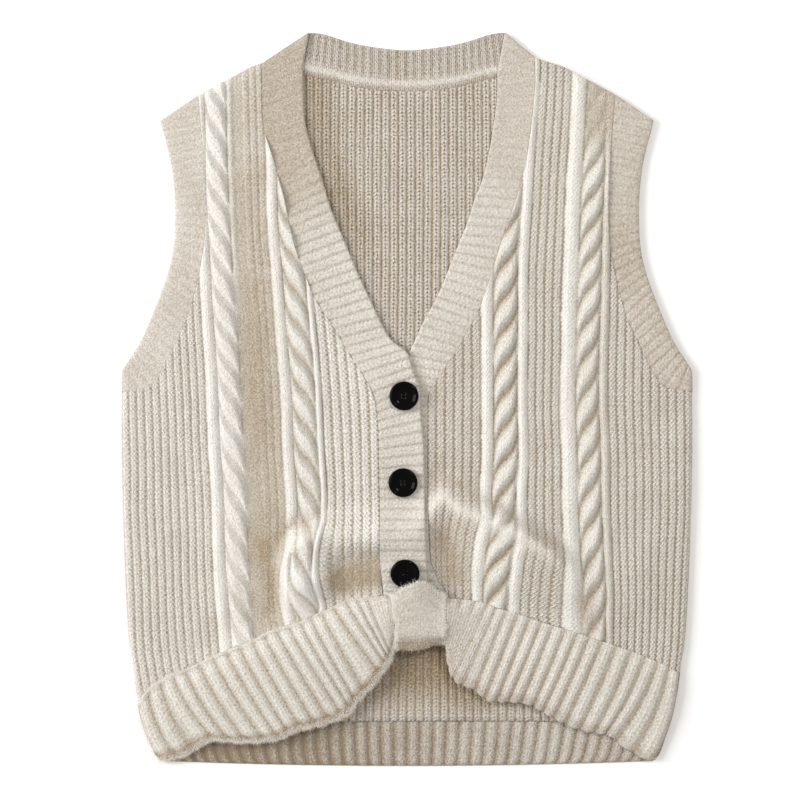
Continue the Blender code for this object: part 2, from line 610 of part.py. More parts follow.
def front_ring(side):
    """The cut edge of a front: hem join, side, armhole seam, shoulder, band seam."""
    band_seam = seam_line(FRONT_BAND[side], BAND_PITCH)
    arm_seam = seam_line(ARMHOLE, ARM_PITCH, 1)
    tops = sorted(hem_top_points(side))
    hem_top = Curve([p[0] for p in tops], [p[1] for p in tops])
    first, last = band_end(side), tops[-1][0]
    steps = 34
    hem = [(first + (last - first) * n / steps, hem_top(first + (last - first) * n / steps)) for n in range(steps + 1)]
    shoulder = [(p.x, p.y) for p in OUTLINE if p.y > 538 and p.x > band_seam[0][0] + 3]
    band_part = [p for p in band_seam if p[1] > hem[0][1] + 3]
    ring = hem + outline_stretch(hem[-1][1], 299) + arm_seam[::-1] + shoulder + band_part
    return [(side * x, y) for x, y in ring]


def band_end(side):
    """How far out the front band's seam is where the hem begins."""
    return 19.6 if side < 0 else 34.4


def front_lines(side):
    """Creases of a front: its ribs, smooth stripes and the crossings of its cables."""
    lines, before = [], None
    for start, end, stripe in stripe_spans(side):
        if stripe.kind == "cable":
            lines += cable_lines(side, start, end)
        elif stripe.kind != "trough":
            halves = 2 * stripe.count
            for half in range(1 if before == "cable" else 0, halves):
                wale = start + (end - start) * half / halves
                heights = fold_rows(side * wale_line(side, wale, 170)) + PLAIN_ROWS
                lines.append([(side * wale_line(side, wale, y), y) for y in heights])
        before = stripe.kind
    return lines


def fold_rows(x):
    """Heights of corners that follow the fold, from below the hem join to its foot."""
    row = Fold(*[column(x) for column in fold_curves])
    seam_y = seam_height(x)
    if abs(x) > 176:
        return [seam_y - 12, seam_y + 20, seam_y + 60]
    drop, climb = row.shelf_y - seam_y, row.foot_y - row.crest_y
    low = [seam_y - 12, seam_y + 0.25 * drop, seam_y + 0.6 * drop, row.shelf_y]
    return low + [row.crest_y, row.crest_y + 0.35 * climb, row.crest_y + 0.7 * climb, row.foot_y + 2]


def cable_lines(side, start, end):
    """Crests and hollows that slant across a cable, from edge to edge."""
    lines = []
    first, last = 2, 26
    for number in range(2 * first, 2 * last):
        line = []
        for across in (-1.0, -0.45, 0.45, 1.0):
            y = CABLE_TWIST * (number / 2 + CABLE_SLANT * across)
            wale = start + (end - start) * (across + 1) / 2
            line.append((side * wale_line(side, wale, y), y))
        lines.append(line)
    for wale in (start, end):
        rows = [CABLE_TWIST * number / 2 for number in range(2 * first - 2, 2 * last)]
        lines.append([(side * wale_line(side, wale, y), y) for y in rows])
    return lines


def build_front(side, label, wool):
    def outer(x, y):
        relief = front_relief(side, abs(x), y) * (1 - 0.6 * edge_fall(x, y))
        return inner(x, y) + FRONT_WALL * steepness(x, y) - 0.5 * edge_fall(x, y) + relief

    def inner(x, y):
        return floor_of(side, x, y)

    folded = [(side * x, y) for x in range(22, 222, 10) for y in fold_rows(side * x)[1:]]
    flat = [(side * x, y) for x in range(30, 240, 30) for y in range(260, 610, 50)]
    grid = [p for p in folded + flat if abs(p[0]) < outline_half(p[1]) - EDGE_SOFT - 5]
    for inward in (EDGE_SOFT / 2, EDGE_SOFT + 1):
        grid += [(side * (outline_half(y) - inward), y) for y in range(70, 300, 20)]
    panel(f"front_{label}_panel", front_ring(side), front_lines(side), grid, outer, inner, wool)


def band_floor(side, x, y):
    """Underside of a front band; the end of the lower one rises with the hem."""
    return floor_of(side, x, y) + (UNDER_END_RISE * ease((134 - y) / 16) if side > 0 else 0.0)


def build_band(side, label, wool):
    shares = (0.0, 0.2, 1.0)
    outer, inner = [], []
    for number, (crest, points) in enumerate(band_rows(FRONT_BAND[side], BAND_PITCH, shares)):
        row, under = [], []
        if side > 0 and points[0].y < 300 and number % 2:
            continue
        for p, share in zip(points, shares):
            x = side * p.x
            hidden = side > 0 and (p.y < LAPPED_FROM and p.x < 14 or points[0].y < 300)
            floor = band_floor(side, x, p.y)
            wall = LAP_UNDER if hidden else BAND_WALL + (BAND_RIB if crest else 0.0)
            soft = 0.75 if share == 0.0 else 1.0
            row.append((x, p.y, floor + wall * soft * (1.0 if hidden else min(steepness(x, p.y), 1.4))))
            under.append((x, p.y, floor))
        outer.append(row)
        inner.append(under)
    if side < 0:
        add_turned_end(outer, inner, shares)
    wall_from_grid(f"front_band_{label}", outer, inner, wool)


def add_turned_end(outer, inner, shares):
    """The end of the top band goes up and back over the lowest button's edge, then down to its rolled end."""
    top_edge = Curve([p.x for p in TURN_EDGE], [p.y for p in TURN_EDGE])
    for number, turn in enumerate(TURNED_END):
        shift = TURN_SHIFT * ease(number / 3)
        levelled = ease((number - 4) / 5)
        row, under = [], []
        for share in shares:
            x = TURN_START - TURN_WIDTH * share + shift
            tip = top_edge(-x)
            base = tip + levelled * (TURN_LEVEL - tip)
            row.append((x, base + turn.y, turn.z))
            under.append((x, base + turn.inner_y, turn.inner_z))
        outer.append(row)
        inner.append(under)


def build_front_hem(side, label, wool):
    columns = hem_curves[side]
    numbers, reach = band_reach(
        columns.top_x, columns.top_y, columns.low_x, columns.low_y, len(FRONT_HEM[side]) - 1
    )
    ribs = round(reach[-1] / HEM_PITCH)
    outer, inner = [], []
    for number in range(3 * ribs + 1):
        rib, part = divmod(number, 3)
        goal = reach[-1] * (rib + (0.0, 0.3, 0.7)[part]) / ribs
        t = number_at(goal, numbers, reach)
        hem = Hem(*[column(t) for column in columns])
        top, low = Vector((hem.top_x, hem.top_y)), Vector((hem.low_x, hem.low_y))
        across = (low - top).normalized()
        outward = Vector((-across.y, across.x))
        if outward.x < 0:
            outward = -outward
        top += across * GAP
        row, under = [], []
        for share, climb, wall in HEM_RISE:
            p = top.lerp(low, share) + outward * hem.bow * math.sin(math.pi * share)
            if climb <= 1:
                floor = hem.top_z + (hem.crest_z - hem.top_z) * ease(climb)
            else:
                floor = hem.crest_z + (hem.low_z - hem.crest_z) * ease(climb - 1)
            relief = 0.0 if part == 0 else HEM_RIB
            row.append((side * p.x, p.y, floor + (HEM_WALL + relief) * wall))
            under.append((side * p.x, p.y, floor))
        outer.append(row)
        inner.append(under)
    wall_from_grid(f"hem_front_{label}", outer, inner, wool)


def band_surface(x, y):
    """Top of the ribs of the upper front band, where a button sits."""
    return band_floor(-1, x, y) + (BAND_WALL + BAND_RIB) * min(steepness(x, y), 1.4)


def build_button(name, spot, plastic):
    """A turned button with a raised rim, a dished middle and four holes, seated square on the band."""
    reach = 8.4
    rise = (band_surface(spot.x, spot.y + reach) - band_surface(spot.x, spot.y - reach)) / (2 * reach)
    roll = (band_surface(spot.x + reach, spot.y) - band_surface(spot.x - reach, spot.y)) / (2 * reach)
    seat = max(
        band_surface(spot.x + r * math.cos(a), spot.y + r * math.sin(a))
        - rise * r * math.sin(a) - roll * r * math.cos(a)
        for r in (0.0, 4.0, 8.4, 10.5)
        for a in (n * math.tau / 16 for n in range(16))
    )
    bm = bmesh.new()
    rings = []
    for ring_point in BUTTON_PROFILE:
        ring = bmesh.ops.create_circle(bm, radius=ring_point.x * MM, segments=BUTTON_SIDES)["verts"]
        for vert in ring:
            vert.co.z = ring_point.y * MM
        rings.append(ring)
    for low, high in zip(rings, rings[1:]):
        for n in range(BUTTON_SIDES):
            after = (n + 1) % BUTTON_SIDES
            bm.faces.new((low[n], low[after], high[after], high[n]))
    bm.faces.new(rings[-1])
    bm.faces.new(rings[0][::-1])
    bmesh.ops.recalc_face_normals(bm, faces=bm.faces)
    button = piece(name, bm, plastic)
    normal = Vector((-roll, -rise, 1.0)).normalized()
    turn = Vector((0, 0, 1)).rotation_difference(normal).to_matrix().to_4x4()
    place = Matrix.Translation(to_world(spot.x, spot.y, seat + GAP)) @ turn
    for n in range(4):
        drill_hole(button, f"{name}_hole_{n}", n, place)
    button.matrix_world = place
    button.data.shade_smooth()
    button.data.set_sharp_from_angle(angle=math.radians(40))
    return button


def drill_hole(button, name, number, place):
    bm = bmesh.new()
    bmesh.ops.create_cone(
        bm, cap_ends=True, segments=6, radius1=HOLE_RADIUS * MM, radius2=HOLE_RADIUS * MM, depth=4 * BUTTON_THICK * MM
    )
    angle = math.tau * (number + 0.5) / 4
    offset = Vector((math.cos(angle), math.sin(angle), 0)) * HOLE_SPREAD * MM
    bmesh.ops.translate(bm, verts=bm.verts, vec=offset)
    mesh = bpy.data.meshes.new(name)
    bm.to_mesh(mesh)
    bm.free()
    cutter = bpy.data.objects.new(name, mesh)
    bpy.context.collection.objects.link(cutter)
    cutter.matrix_world = place
    cutter.hide_render = True
    cutter.display_type = "WIRE"
    cut = button.modifiers.new(name, "BOOLEAN")
    cut.operation = "DIFFERENCE"
    cut.solver = "EXACT"
    cut.object = cutter


def main():
    for obj in list(bpy.data.objects):
        bpy.data.objects.remove(obj)
    cream = (0.80, 0.74, 0.64)
    wool = finish_material("cream_wool", cream, 0.92)
    rib_wool = finish_material("cream_rib", (0.82, 0.76, 0.67), 0.92)
    inside_wool = finish_material("cream_inside", (0.72, 0.67, 0.58), 0.94)
    plastic = finish_material("black_gloss", (0.012, 0.011, 0.011), 0.12, 0.6)
    build_back(inside_wool)
    build_back_hem(inside_wool)
    build_neckband(rib_wool)
    for side, label in ((-1, "left"), (1, "right")):
        build_armhole(side, label, rib_wool)
        build_front(side, label, wool)
        build_band(side, label, rib_wool)
        build_front_hem(side, label, rib_wool)
    for name, spot in BUTTON_SPOTS.items():
        build_button(name, spot, plastic)


main()
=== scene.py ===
import math

import bmesh
import bpy
import numpy as np
from mathutils import Matrix, Vector


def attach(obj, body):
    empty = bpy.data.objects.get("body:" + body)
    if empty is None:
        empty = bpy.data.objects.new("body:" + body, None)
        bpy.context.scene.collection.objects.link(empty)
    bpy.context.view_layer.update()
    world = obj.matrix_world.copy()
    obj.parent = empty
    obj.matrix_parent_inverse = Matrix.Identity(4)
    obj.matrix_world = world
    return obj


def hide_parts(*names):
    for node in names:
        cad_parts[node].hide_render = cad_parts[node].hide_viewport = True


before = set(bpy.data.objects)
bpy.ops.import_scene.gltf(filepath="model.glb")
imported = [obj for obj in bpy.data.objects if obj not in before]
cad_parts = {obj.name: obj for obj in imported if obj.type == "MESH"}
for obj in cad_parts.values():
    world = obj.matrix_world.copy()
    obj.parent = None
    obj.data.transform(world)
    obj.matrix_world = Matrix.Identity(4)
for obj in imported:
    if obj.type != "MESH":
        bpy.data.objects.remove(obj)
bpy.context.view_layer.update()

# Lengths are millimetres. x runs outward from the centre front on both sides, y up from the back hem, z up
# from the table. side is -1 for the half on the left of the picture and +1 for the half on the right.
mm = 0.001
sides = ((-1, "Left"), (1, "Right"))
garment = {
    "length": 586.0,
    "seamGap": 0.05,
    "edgeSoft": 9.0,  # how wide the outer edge rounds over
    "edgeDrop": 1.4,
    "backWall": 1.9,
    "restHeight": 3.3,  # where the front lies on the back
    "leastFuzz": 0.003,
    "shoulderFrom": 515.0, "shoulderSlant": 0.55,
    # half width and height: hem corner, side, underarm, armhole edge, shoulder, neck corner
    "outline": [
        (197.0, 4), (201.6, 9), (206.4, 22), (211.3, 38), (213.6, 47), (216.8, 62), (218.8, 80), (222.0, 100),
        (225.6, 164), (227.6, 228), (228.0, 260), (227.8, 292), (227.4, 316), (217.6, 331), (209.8, 346),
        (202.8, 363), (195.6, 380), (190.4, 396), (186.8, 412), (185.2, 442), (186.0, 460), (187.8, 477),
        (191.5, 494), (197.0, 515), (184.0, 524), (170.0, 533.5), (155.0, 542), (140.0, 550), (124.0, 558.5),
        (104.0, 565.5), (94.0, 572), (86.0, 579), (77.6, 586),
    ],
}


class SmoothCurve:  # runs through a column of a table and never overshoots it
    def __init__(self, places, values):
        self.places, self.values = np.array(places, float), np.array(values, float)
        steps = np.diff(self.places)
        rises = np.diff(self.values) / steps
        product = rises[:-1] * rises[1:]
        total = np.where(product > 0, rises[:-1] + rises[1:], 1.0)
        inner = np.where(product > 0, 2 * product / total, 0.0)
        self.slopes = np.concatenate([rises[:1], inner, rises[-1:]])

    def __call__(self, place):
        place = np.clip(place, self.places[0], self.places[-1])
        n = np.clip(np.searchsorted(self.places, place, side="right") - 1, 0, len(self.places) - 2)
        step = self.places[n + 1] - self.places[n]
        t = (place - self.places[n]) / step
        rest = 1 - t
        return (
            (1 + 2 * t) * rest * rest * self.values[n]
            + t * rest * rest * step * self.slopes[n]
            + t * t * (3 - 2 * t) * self.values[n + 1]
            - t * t * rest * step * self.slopes[n + 1]
        )


def columnsOf(rows, key=None):
    places = [row[key] for row in rows] if key is not None else list(range(len(rows)))
    return [SmoothCurve(places, column) for column in zip(*rows)]


def ease(t):
    t = np.clip(t, 0.0, 1.0)
    return t * t * (3 - 2 * t)


def rounded(distance, radius):  # 0 at an edge, 1 from radius inward, along a quarter circle
    t = 1 - np.clip(distance / radius, 0.0, 1.0)
    return np.sqrt(1 - t * t)


def ribbed(phase, power=0.8):  # one rounded rib for each whole number
    return np.abs(np.sin(np.pi * phase)) ** power


def mix(a, b, t):
    return a + (b - a) * t


def waviness(x, y, seed=0.0):  # slow unevenness of laid cloth, -1 to 1
    return (
        0.45 * np.sin(x * 0.041 + y * 0.013 + 1.7 + seed)
        + 0.30 * np.sin(x * 0.023 - y * 0.037 + 4.1 + 2 * seed)
        + 0.25 * np.sin(x * 0.083 + y * 0.061 + 0.6 + 3 * seed)
    )


outlineHalf = SmoothCurve([row[1] for row in garment["outline"]], [row[0] for row in garment["outline"]])


def edgeFall(x, y):
    slant = np.where(y > garment["shoulderFrom"], garment["shoulderSlant"], 1.0)
    inside = (outlineHalf(y) - np.abs(x)) * slant
    return 1 - rounded(inside, garment["edgeSoft"])


# rows of a sewn band: x and y of its free edge, x and y of its seam
armholeLook = {
    "width": 27.0, "ribPitch": 7.8, "ribHeight": 0.5, "wall": 2.5,
    # the right band is given a lower tone: painted shade on the side away from the light
    "tone": {-1: 0.48, 1: 0.40}, "backTone": 0.74, "grain": {-1: 0.18, 1: 0.35},
    "flat": (0.235, 0.03), "area": 0.0058,
    "rows": [
        (197.0, 515, 166.0, 536), (191.5, 494, 164.0, 510), (187.8, 477, 161.8, 487),
        (186.0, 460, 160.7, 465), (185.2, 442, 160.2, 443), (185.5, 426, 161.0, 421),
        (187.2, 410, 164.3, 399), (191.5, 392, 169.6, 376), (198.0, 374, 176.5, 354),
        (206.5, 353, 185.5, 335.5), (214.0, 337, 193.5, 319), (221.5, 325.5, 205.0, 303),
        (227.4, 316, 227.8, 299),
    ],
}
neckbandLook = {
    "width": 33.0, "ribPitch": 7.2, "ribHeight": 1.1,
    "ridge": 1.7, "ridgeAt": 0.82, "ridgeWidth": 3.4, "beadPitch": 3.1,
    "flat": (0.215, 0.047), "area": 0.0069,
    "rows": [
        (77.6, 586, 106.0, 563.5), (72.0, 585.6, 94.0, 556.5), (64.0, 584, 80.0, 551.5),
        (52.0, 580, 62.0, 548), (32.0, 575.3, 36.0, 541.5), (0.0, 572, 0.0, 538.8),
    ],
}
frontBandLook = {
    "width": 35.0, "ribPitch": 8.2, "ribHeight": 1.2, "wall": 2.5, "hiddenWall": 2.3, "fuzz": 0.006,
    "lap": 3.7, "lappedFrom": 330.0, "lowerEndRise": 6.0,
    "climbFrom": -62.0, "climbWidth": 48.0, "climbLength": 16.0,  # how the neck edge climbs onto the lap
    "cutWidth": 0.036, "meanWidth": 0.033, "turnedLength": {-1: 75.0, 1: 0.0}, "turnedRows": {-1: 60, 1: 0},
    "shoulderShade": {-1: 0.3, 1: 0.1},
    -1: [
        (78.0, 586, 116.0, 561), (83.0, 554, 116.0, 540), (82.4, 533, 115.6, 520), (81.6, 518, 113.6, 506),
        (77.6, 499, 107.6, 488), (73.2, 485, 102.4, 470), (67.2, 467, 97.6, 452), (60.4, 444.5, 93.2, 431),
        (52.0, 424.5, 88.4, 411), (44.8, 407, 82.0, 394), (37.6, 390, 75.2, 377), (29.6, 373, 66.4, 362),
        (22.0, 357, 57.0, 348), (13.0, 341, 47.6, 331.5), (-0.8, 329, 38.4, 317), (-5.0, 315, 29.6, 303),
        (-9.6, 302, 24.8, 288), (-11.2, 280, 23.0, 271), (-13.6, 248, 22.4, 244), (-14.4, 194, 21.6, 194),
        (-15.2, 171, 21.6, 171), (-16.0, 141.0, 19.0, 139.0),
    ],
    1: [
        (78.0, 586, 102.0, 565), (72.0, 550, 102.4, 548), (72.0, 536, 101.6, 536), (69.6, 516, 100.0, 519),
        (67.2, 500, 97.6, 500), (64.0, 484, 95.0, 482), (60.0, 468, 91.0, 467), (53.6, 452, 86.0, 450),
        (48.8, 436, 80.0, 433), (42.4, 420, 74.4, 417), (36.0, 404, 68.5, 397), (29.6, 388, 62.4, 378),
        (22.4, 372, 55.2, 360), (13.6, 356, 47.2, 346), (7.2, 342, 39.6, 332.5), (0.8, 329, 32.8, 322),
        (-7.0, 318, 26.4, 312), (-12.0, 304, 18.8, 301), (-13.0, 291, 16.4, 290), (-13.0, 248, 16.4, 248),
        (-12.0, 194, 17.0, 194), (-11.0, 171, 18.0, 171), (-6.0, 150, 24.4, 150), (0.0, 138.5, 31.0, 138.5),
        (4.0, 124, 29.0, 123), (5.0, 110, 27.5, 109.5),
    ],
}
# the end of the top band, folded over the lowest button
turnedEndLook = {
    "start": 16.0, "width": 35.0, "shift": 9.7, "widen": 5.3, "narrow": 0.5, "lapOver": 2.4, "level": 146.5,
    "shorter": 6.0,
    "root": 144.0,
    "topEdge": [
        (-31.0, 138.6), (-24.0, 141.5), (-17.0, 147.0), (-10.0, 149.4), (-1.1, 146.6), (5.1, 143.8),
        (9.6, 139.4), (12.0, 136.0),
    ],
    # y and z of the outer face, of the inner face, and how far the side away from the button sinks
    "rows": [
        (-3.6, 16.2, -6.0, 12.4, 0.0), (-4.4, 18.8, -7.0, 15.5, 1.5), (-3.2, 21.6, -6.4, 20.0, 5.0),
        (0.0, 23.2, -3.6, 22.0, 6.5), (-1.6, 24.9, -5.4, 22.6, 7.4), (-9.0, 25.6, -10.5, 22.8, 7.0),
        (-23.0, 25.0, -23.0, 22.3, 3.2), (-36.0, 23.4, -35.0, 20.7, 1.2), (-43.0, 20.8, -41.0, 18.2, 0.6),
        (-48.5, 18.8, -47.0, 16.0, 0.4), (-52.0, 16.6, -50.0, 15.0, 0.4), (-52.8, 14.4, -51.0, 14.2, 0.4),
    ],
}

# rows of a front hem rib: top x, y, low x, y, z of its underside at the join, the crest and the low edge, bow
frontHemLook = {
    "ribPitch": 10.4, "ribHeight": 1.8, "wall": 2.9, "roll": 8.5, "rollDrop": 3.4,
    "flat": (0.232, 0.078),
    "own": {  # what differs from side to side
        -1: {
            # how many rows of the table the low end of a rib is nearer the centre than its top
            "lean": [0, 0.6, 1.1, 1.4, 1.6, 1.4, 1.3, 0.9, 1.1, 0.9, 0.7, 0.5, 0.25, 0],
            "plainTo": 0.9, "plainFade": 1.6, "scallop": 0.9, "lip": 1.0, "welt": 1.3, "plainTone": 0.76,
            "topLight": 0.2, "lipShade": 0.66, "topFuzz": 1.0, "lipFuzz": 1.0, "centreFuzz": 0.0,
            "area": 0.0158,
        },
        1: {
            "lean": [0, 0, 0.1, 0.2, 0.3, 0.4, 0.4, 0.5, 0.6, 0.7, 0.8, 0.7, 0.6, 0.6, 0.4, 0],
            "plainTo": 1.8, "plainFade": 3.6, "scallop": 1.5, "lip": 0.55, "welt": 0.0, "plainTone": 0.54,
            "topLight": 0.02, "lipShade": 0.5, "topFuzz": 0.3, "lipFuzz": 0.6, "centreFuzz": 2.2,
            "area": 0.0138,
        },
    },
    -1: [
        (9.9, 138.0, 9.7, 101.2, 11.0, 15.4, 13.0, 0), (23.0, 136.4, 12.0, 88.0, 10.5, 16.5, 13.0, 0),
        (32.0, 135.6, 17.0, 78.8, 9.5, 16.0, 12.5, 0), (45.6, 134.0, 29.6, 62.8, 9.0, 15.5, 11.5, 0),
        (60.0, 127.6, 39.2, 53.2, 8.5, 15.0, 11.0, 0), (71.2, 122.8, 46.4, 42.8, 8.5, 15.0, 10.5, 0),
        (85.6, 116.4, 63.2, 35.6, 8.0, 14.5, 10.0, 0), (108.8, 109.2, 88.0, 29.2, 7.5, 13.5, 9.5, 0),
        (125.6, 100.4, 104.8, 22.0, 7.0, 12.5, 9.5, 0), (150.4, 90.8, 129.6, 20.4, 6.5, 11.5, 9.0, 1),
        (173.6, 79.6, 152.8, 22.0, 6.0, 9.5, 7.5, 2), (194.4, 70.8, 173.6, 10.8, 5.5, 7.0, 5.0, 3),
        (204.8, 63.6, 184.0, 7.5, 4.6, 5.2, 4.2, 3), (215.2, 50.4, 197.6, 4.4, 3.7, 3.8, 3.7, 2.6),
    ],
    1: [
        (31.3, 135.2, 30.0, 105.2, 10.5, 17.0, 14.5, 0), (42.5, 134.2, 31.0, 92.0, 9.0, 16.5, 13.5, 0),
        (53.6, 133.2, 32.8, 80.0, 9.0, 15.5, 12.5, 0), (64.0, 130.5, 38.4, 69.2, 9.0, 15.0, 12.0, 0),
        (74.4, 126.8, 53.6, 62.0, 9.0, 14.5, 10.5, 0), (87.0, 123.0, 66.0, 53.0, 9.0, 14.0, 9.5, 0),
        (101.6, 118.0, 81.0, 52.5, 8.5, 13.5, 9.0, 0), (115.0, 113.5, 97.6, 50.0, 8.0, 13.0, 8.5, 0),
        (128.8, 109.2, 110.0, 43.0, 7.5, 12.5, 8.0, 0), (142.0, 105.0, 124.0, 35.5, 7.0, 12.0, 7.5, 0),
        (156.0, 100.4, 137.0, 30.0, 6.5, 11.0, 7.0, 0), (170.0, 95.5, 149.0, 27.5, 6.0, 10.0, 6.5, 1),
        (183.2, 90.8, 160.0, 25.5, 5.5, 8.5, 5.5, 2), (198.4, 84.4, 172.0, 16.5, 4.6, 6.2, 4.6, 3),
        (208.0, 80.0, 184.0, 9.0, 4.0, 4.8, 4.0, 4), (217.0, 74.5, 197.4, 4.4, 3.7, 3.8, 3.7, 4.2),
    ],
}


frontLook = {
    "wall": 2.4, "ribHeight": 1.5, "smoothHeight": 2.6, "cableRise": 4.6,
    "twist": {-1: 27.4, 1: 26.7}, "slant": 0.72, "rowStep": 2.0, "stitchLength": 3.75,
    "tuckedColumns": [-8.0, -6.0, -4.0, -2.5, -1.2], "span": (44.0, 592.0), "flat": (0.211, 0.51),
    "hemFrom": {-1: 19.6, 1: 31.5}, "stretched": {-1: 0.25, 1: 0.85},
    # how far the lobes of the inner and the outer cable are on in their turn, by height
    "lobesOn": {
        -1: [
            [(260, 0.0), (308, 0.09), (356, 0.12)],
            [(196, 0.18), (244, 0.04), (292, 0.02), (340, 0.25), (388, 0.33), (436, 0.31), (484, 0.35)],
        ],
        1: [
            [(276, -0.18), (324, -0.07), (372, -0.03)],
            [(188, -0.24), (236, -0.21), (284, -0.2), (332, -0.27), (380, -0.25), (428, -0.09), (476, 0.0)],
        ],
    },
    # the three groups of ribs from the seam outward: how much painted shade darkens them, and how crisp
    "shadeOf": {-1: (0.02, 0.26, 0.1), 1: (0.28, 0.2, 0.2)},
    "crisp": {-1: (0.9, 0.45, 0.72), 1: (0.9, 0.85, 0.9)},
    # the low tone of the inner and the outer cable's creases: painted shade, deeper on the right front, away
    # from the light
    "cableTone": {-1: (0.52, 0.90), 1: (0.36, 0.46)},
    # height, then distance from the centre of the side, the outer cable, the inner cable and the front seam
    "wales": {
        -1: [
            (52, 216, 122.0, 80.0, 18.0), (100, 223, 128.4, 80.0, 20.0), (132, 224, 131.6, 79.2, 21.0),
            (172, 225, 134.8, 78.4, 21.6), (212, 227, 136.0, 76.8, 21.6), (252, 227, 138.8, 79.2, 22.4),
            (292, 227, 140.8, 81.2, 24.0), (372, 228, 146.4, 87.6, 31.0), (452, 228, 150.4, 93.6, 37.0),
            (560, 228, 153.6, 96.0, 40.0),
        ],
        1: [
            (60, 217, 150.0, 80.0, 24.0), (100, 222, 151.2, 77.0, 22.0), (132, 224, 151.2, 76.4, 20.0),
            (172, 226, 148.8, 76.4, 18.0), (212, 228, 146.4, 76.8, 16.5), (252, 228, 145.6, 79.2, 16.0),
            (292, 228, 144.0, 78.8, 16.0), (372, 228, 144.8, 78.8, 16.0), (452, 228, 148.0, 82.0, 20.0),
            (560, 228, 153.6, 88.0, 26.0),
        ],
    },
    # what is knitted from the front seam to the side: kind, width, how many ribs, mesh columns
    "stripes": {
        -1: [
            ("ribs", 43.2, 6, 36), ("smooth", 5.2, 1, 5), ("cable", 18.8, 1, 16), ("smooth", 9.2, 1, 8),
            ("ribs", 18.0, 3, 18), ("trough", 13.0, 1, 12), ("cable", 18.8, 1, 16), ("smooth", 10.0, 1, 8),
            ("ribs", 68.0, 11, 66),
        ],
        1: [
            ("ribs", 43.0, 6, 36), ("smooth", 10.0, 1, 8), ("cable", 19.4, 1, 16), ("smooth", 8.8, 1, 7),
            ("ribs", 26.0, 4, 24), ("smooth", 12.6, 1, 9), ("cable", 18.0, 1, 16), ("smooth", 7.4, 1, 7),
            ("ribs", 66.4, 10, 60),
        ],
    },
    # soft hollows of painted shade: from x, y to x, y (x signed), half width, how deep the shade is; a
    # negative depth is a painted highlight
    "hollows": [
        (-62, 151, -12, 157, 13, 1.25), (-112, 178, -109, 114, 9, 0.7), (-103, 178, -86, 197, 4, 0.5),
        (-86, 197, -68, 201, 4, 0.4), (27, 192, 36, 144, 14, 0.62), (20, 238, 60, 214, 4, 0.24),
        (60, 214, 120, 177, 4, 0.3), (146, 142, 142, 106, 10, 0.5), (-196, 92, -150, 112, 8, 0.12),
        (-131, 150, -128, 115, 5, 0.3), (60, 150, 64, 140, 8, 0.15), (140, 330, 150, 260, 12, 0.1),
        (-127, 480, -117, 300, 15, 0.28), (-121, 390, -114, 250, 14, 0.25), (-116, 300, -111, 170, 14, 0.36),
        (-86, 160, -80, 124, 16, -0.42), (-44, 196, -10, 194, 11, -0.25),
    ],
    # soft creases: from x, y to x, y (x signed), half width, height (a trough is negative)
    "creases": [
        (-222, 305, -168, 232, 13, -0.9), (-205, 330, -180, 290, 9, 0.8), (-200, 180, -150, 120, 14, 0.9),
        (-185, 250, -165, 120, 12, -0.8), (-120, 250, -95, 200, 10, -0.9), (-60, 250, -28, 232, 9, 0.9),
        (-108, 175, -99, 118, 6, -1.2), (-99, 170, -88, 183, 6, 2.0), (-88, 183, -70, 188, 6, 1.8),
        (-104, 186, -70, 205, 6, -1.2), (-50, 205, -24, 196, 7, -0.8), (222, 300, 176, 238, 13, -0.9),
        (206, 328, 182, 292, 9, 0.8), (200, 190, 168, 118, 13, 0.9), (30, 262, 70, 246, 9, 1.0),
        (26, 246, 66, 226, 8, -1.0), (100, 258, 132, 214, 10, -0.9), (134, 205, 150, 140, 8, -1.2),
        (116, 470, 150, 400, 12, 0.7), (-118, 480, -150, 420, 12, 0.7), (-140, 380, -110, 330, 12, -0.7),
        (60, 330, 100, 290, 12, 0.7),
    ],
}
# The fold that the raised hem pushes up: x, then y and z of its foot, crest and shelf.
foldLook = [
    (-228.0, 150, 130, 3.3, 110, 3.3, 3.6), (-150.0, 150, 130, 3.3, 110, 3.3, 4.6),
    (-106.0, 180, 160, 3.5, 130, 3.4, 4.8), (-99.0, 186, 163, 8.5, 140, 7.0, 5.6),
    (-93.0, 190, 168, 15.5, 146, 14.5, 6.2), (-80.0, 200, 178, 19.0, 150, 17.5, 6.6),
    (-65.0, 208, 184, 20.0, 156, 16.0, 6.6), (-50.0, 212, 183, 19.6, 163, 10.5, 6.6),
    (-26.0, 216, 182, 18.0, 166, 11.0, 7.2), (0.0, 220, 184, 16.0, 166, 12.8, 8.0),
    (16.0, 228, 194, 14.5, 168, 11.5, 8.2), (31.0, 240, 210, 14.0, 176, 9.5, 8.6),
    (46.0, 232, 206, 16.5, 168, 12.5, 8.6), (66.0, 222, 197, 18.5, 157, 15.5, 8.2),
    (90.0, 210, 185, 18.5, 149, 14.5, 7.6), (114.0, 194, 170, 16.0, 141, 12.0, 6.8),
    (134.0, 176, 154, 10.5, 133, 7.5, 6.0), (154.0, 164, 144, 6.0, 125, 4.6, 5.0),
    (176.0, 150, 130, 3.8, 110, 3.6, 4.2), (228.0, 150, 130, 3.3, 110, 3.3, 3.6),
]

foldCurves = columnsOf(foldLook, 0)
crestLine = foldCurves[2]
waleCurves = {side: columnsOf(rows, 0) for side, rows in frontLook["wales"].items()}
lobeCurves = {side: [columnsOf(rows, 0)[1] for rows in pair] for side, pair in frontLook["lobesOn"].items()}
hemJoin = {}
for side in (-1, 1):
    tops = sorted((row[0], row[1]) for row in frontHemLook[side])
    hemJoin[side] = SmoothCurve([p[0] for p in tops], [p[1] for p in tops])


def seamHeight(x):
    return np.where(x < 0, hemJoin[-1](np.abs(x)), hemJoin[1](np.abs(x)))


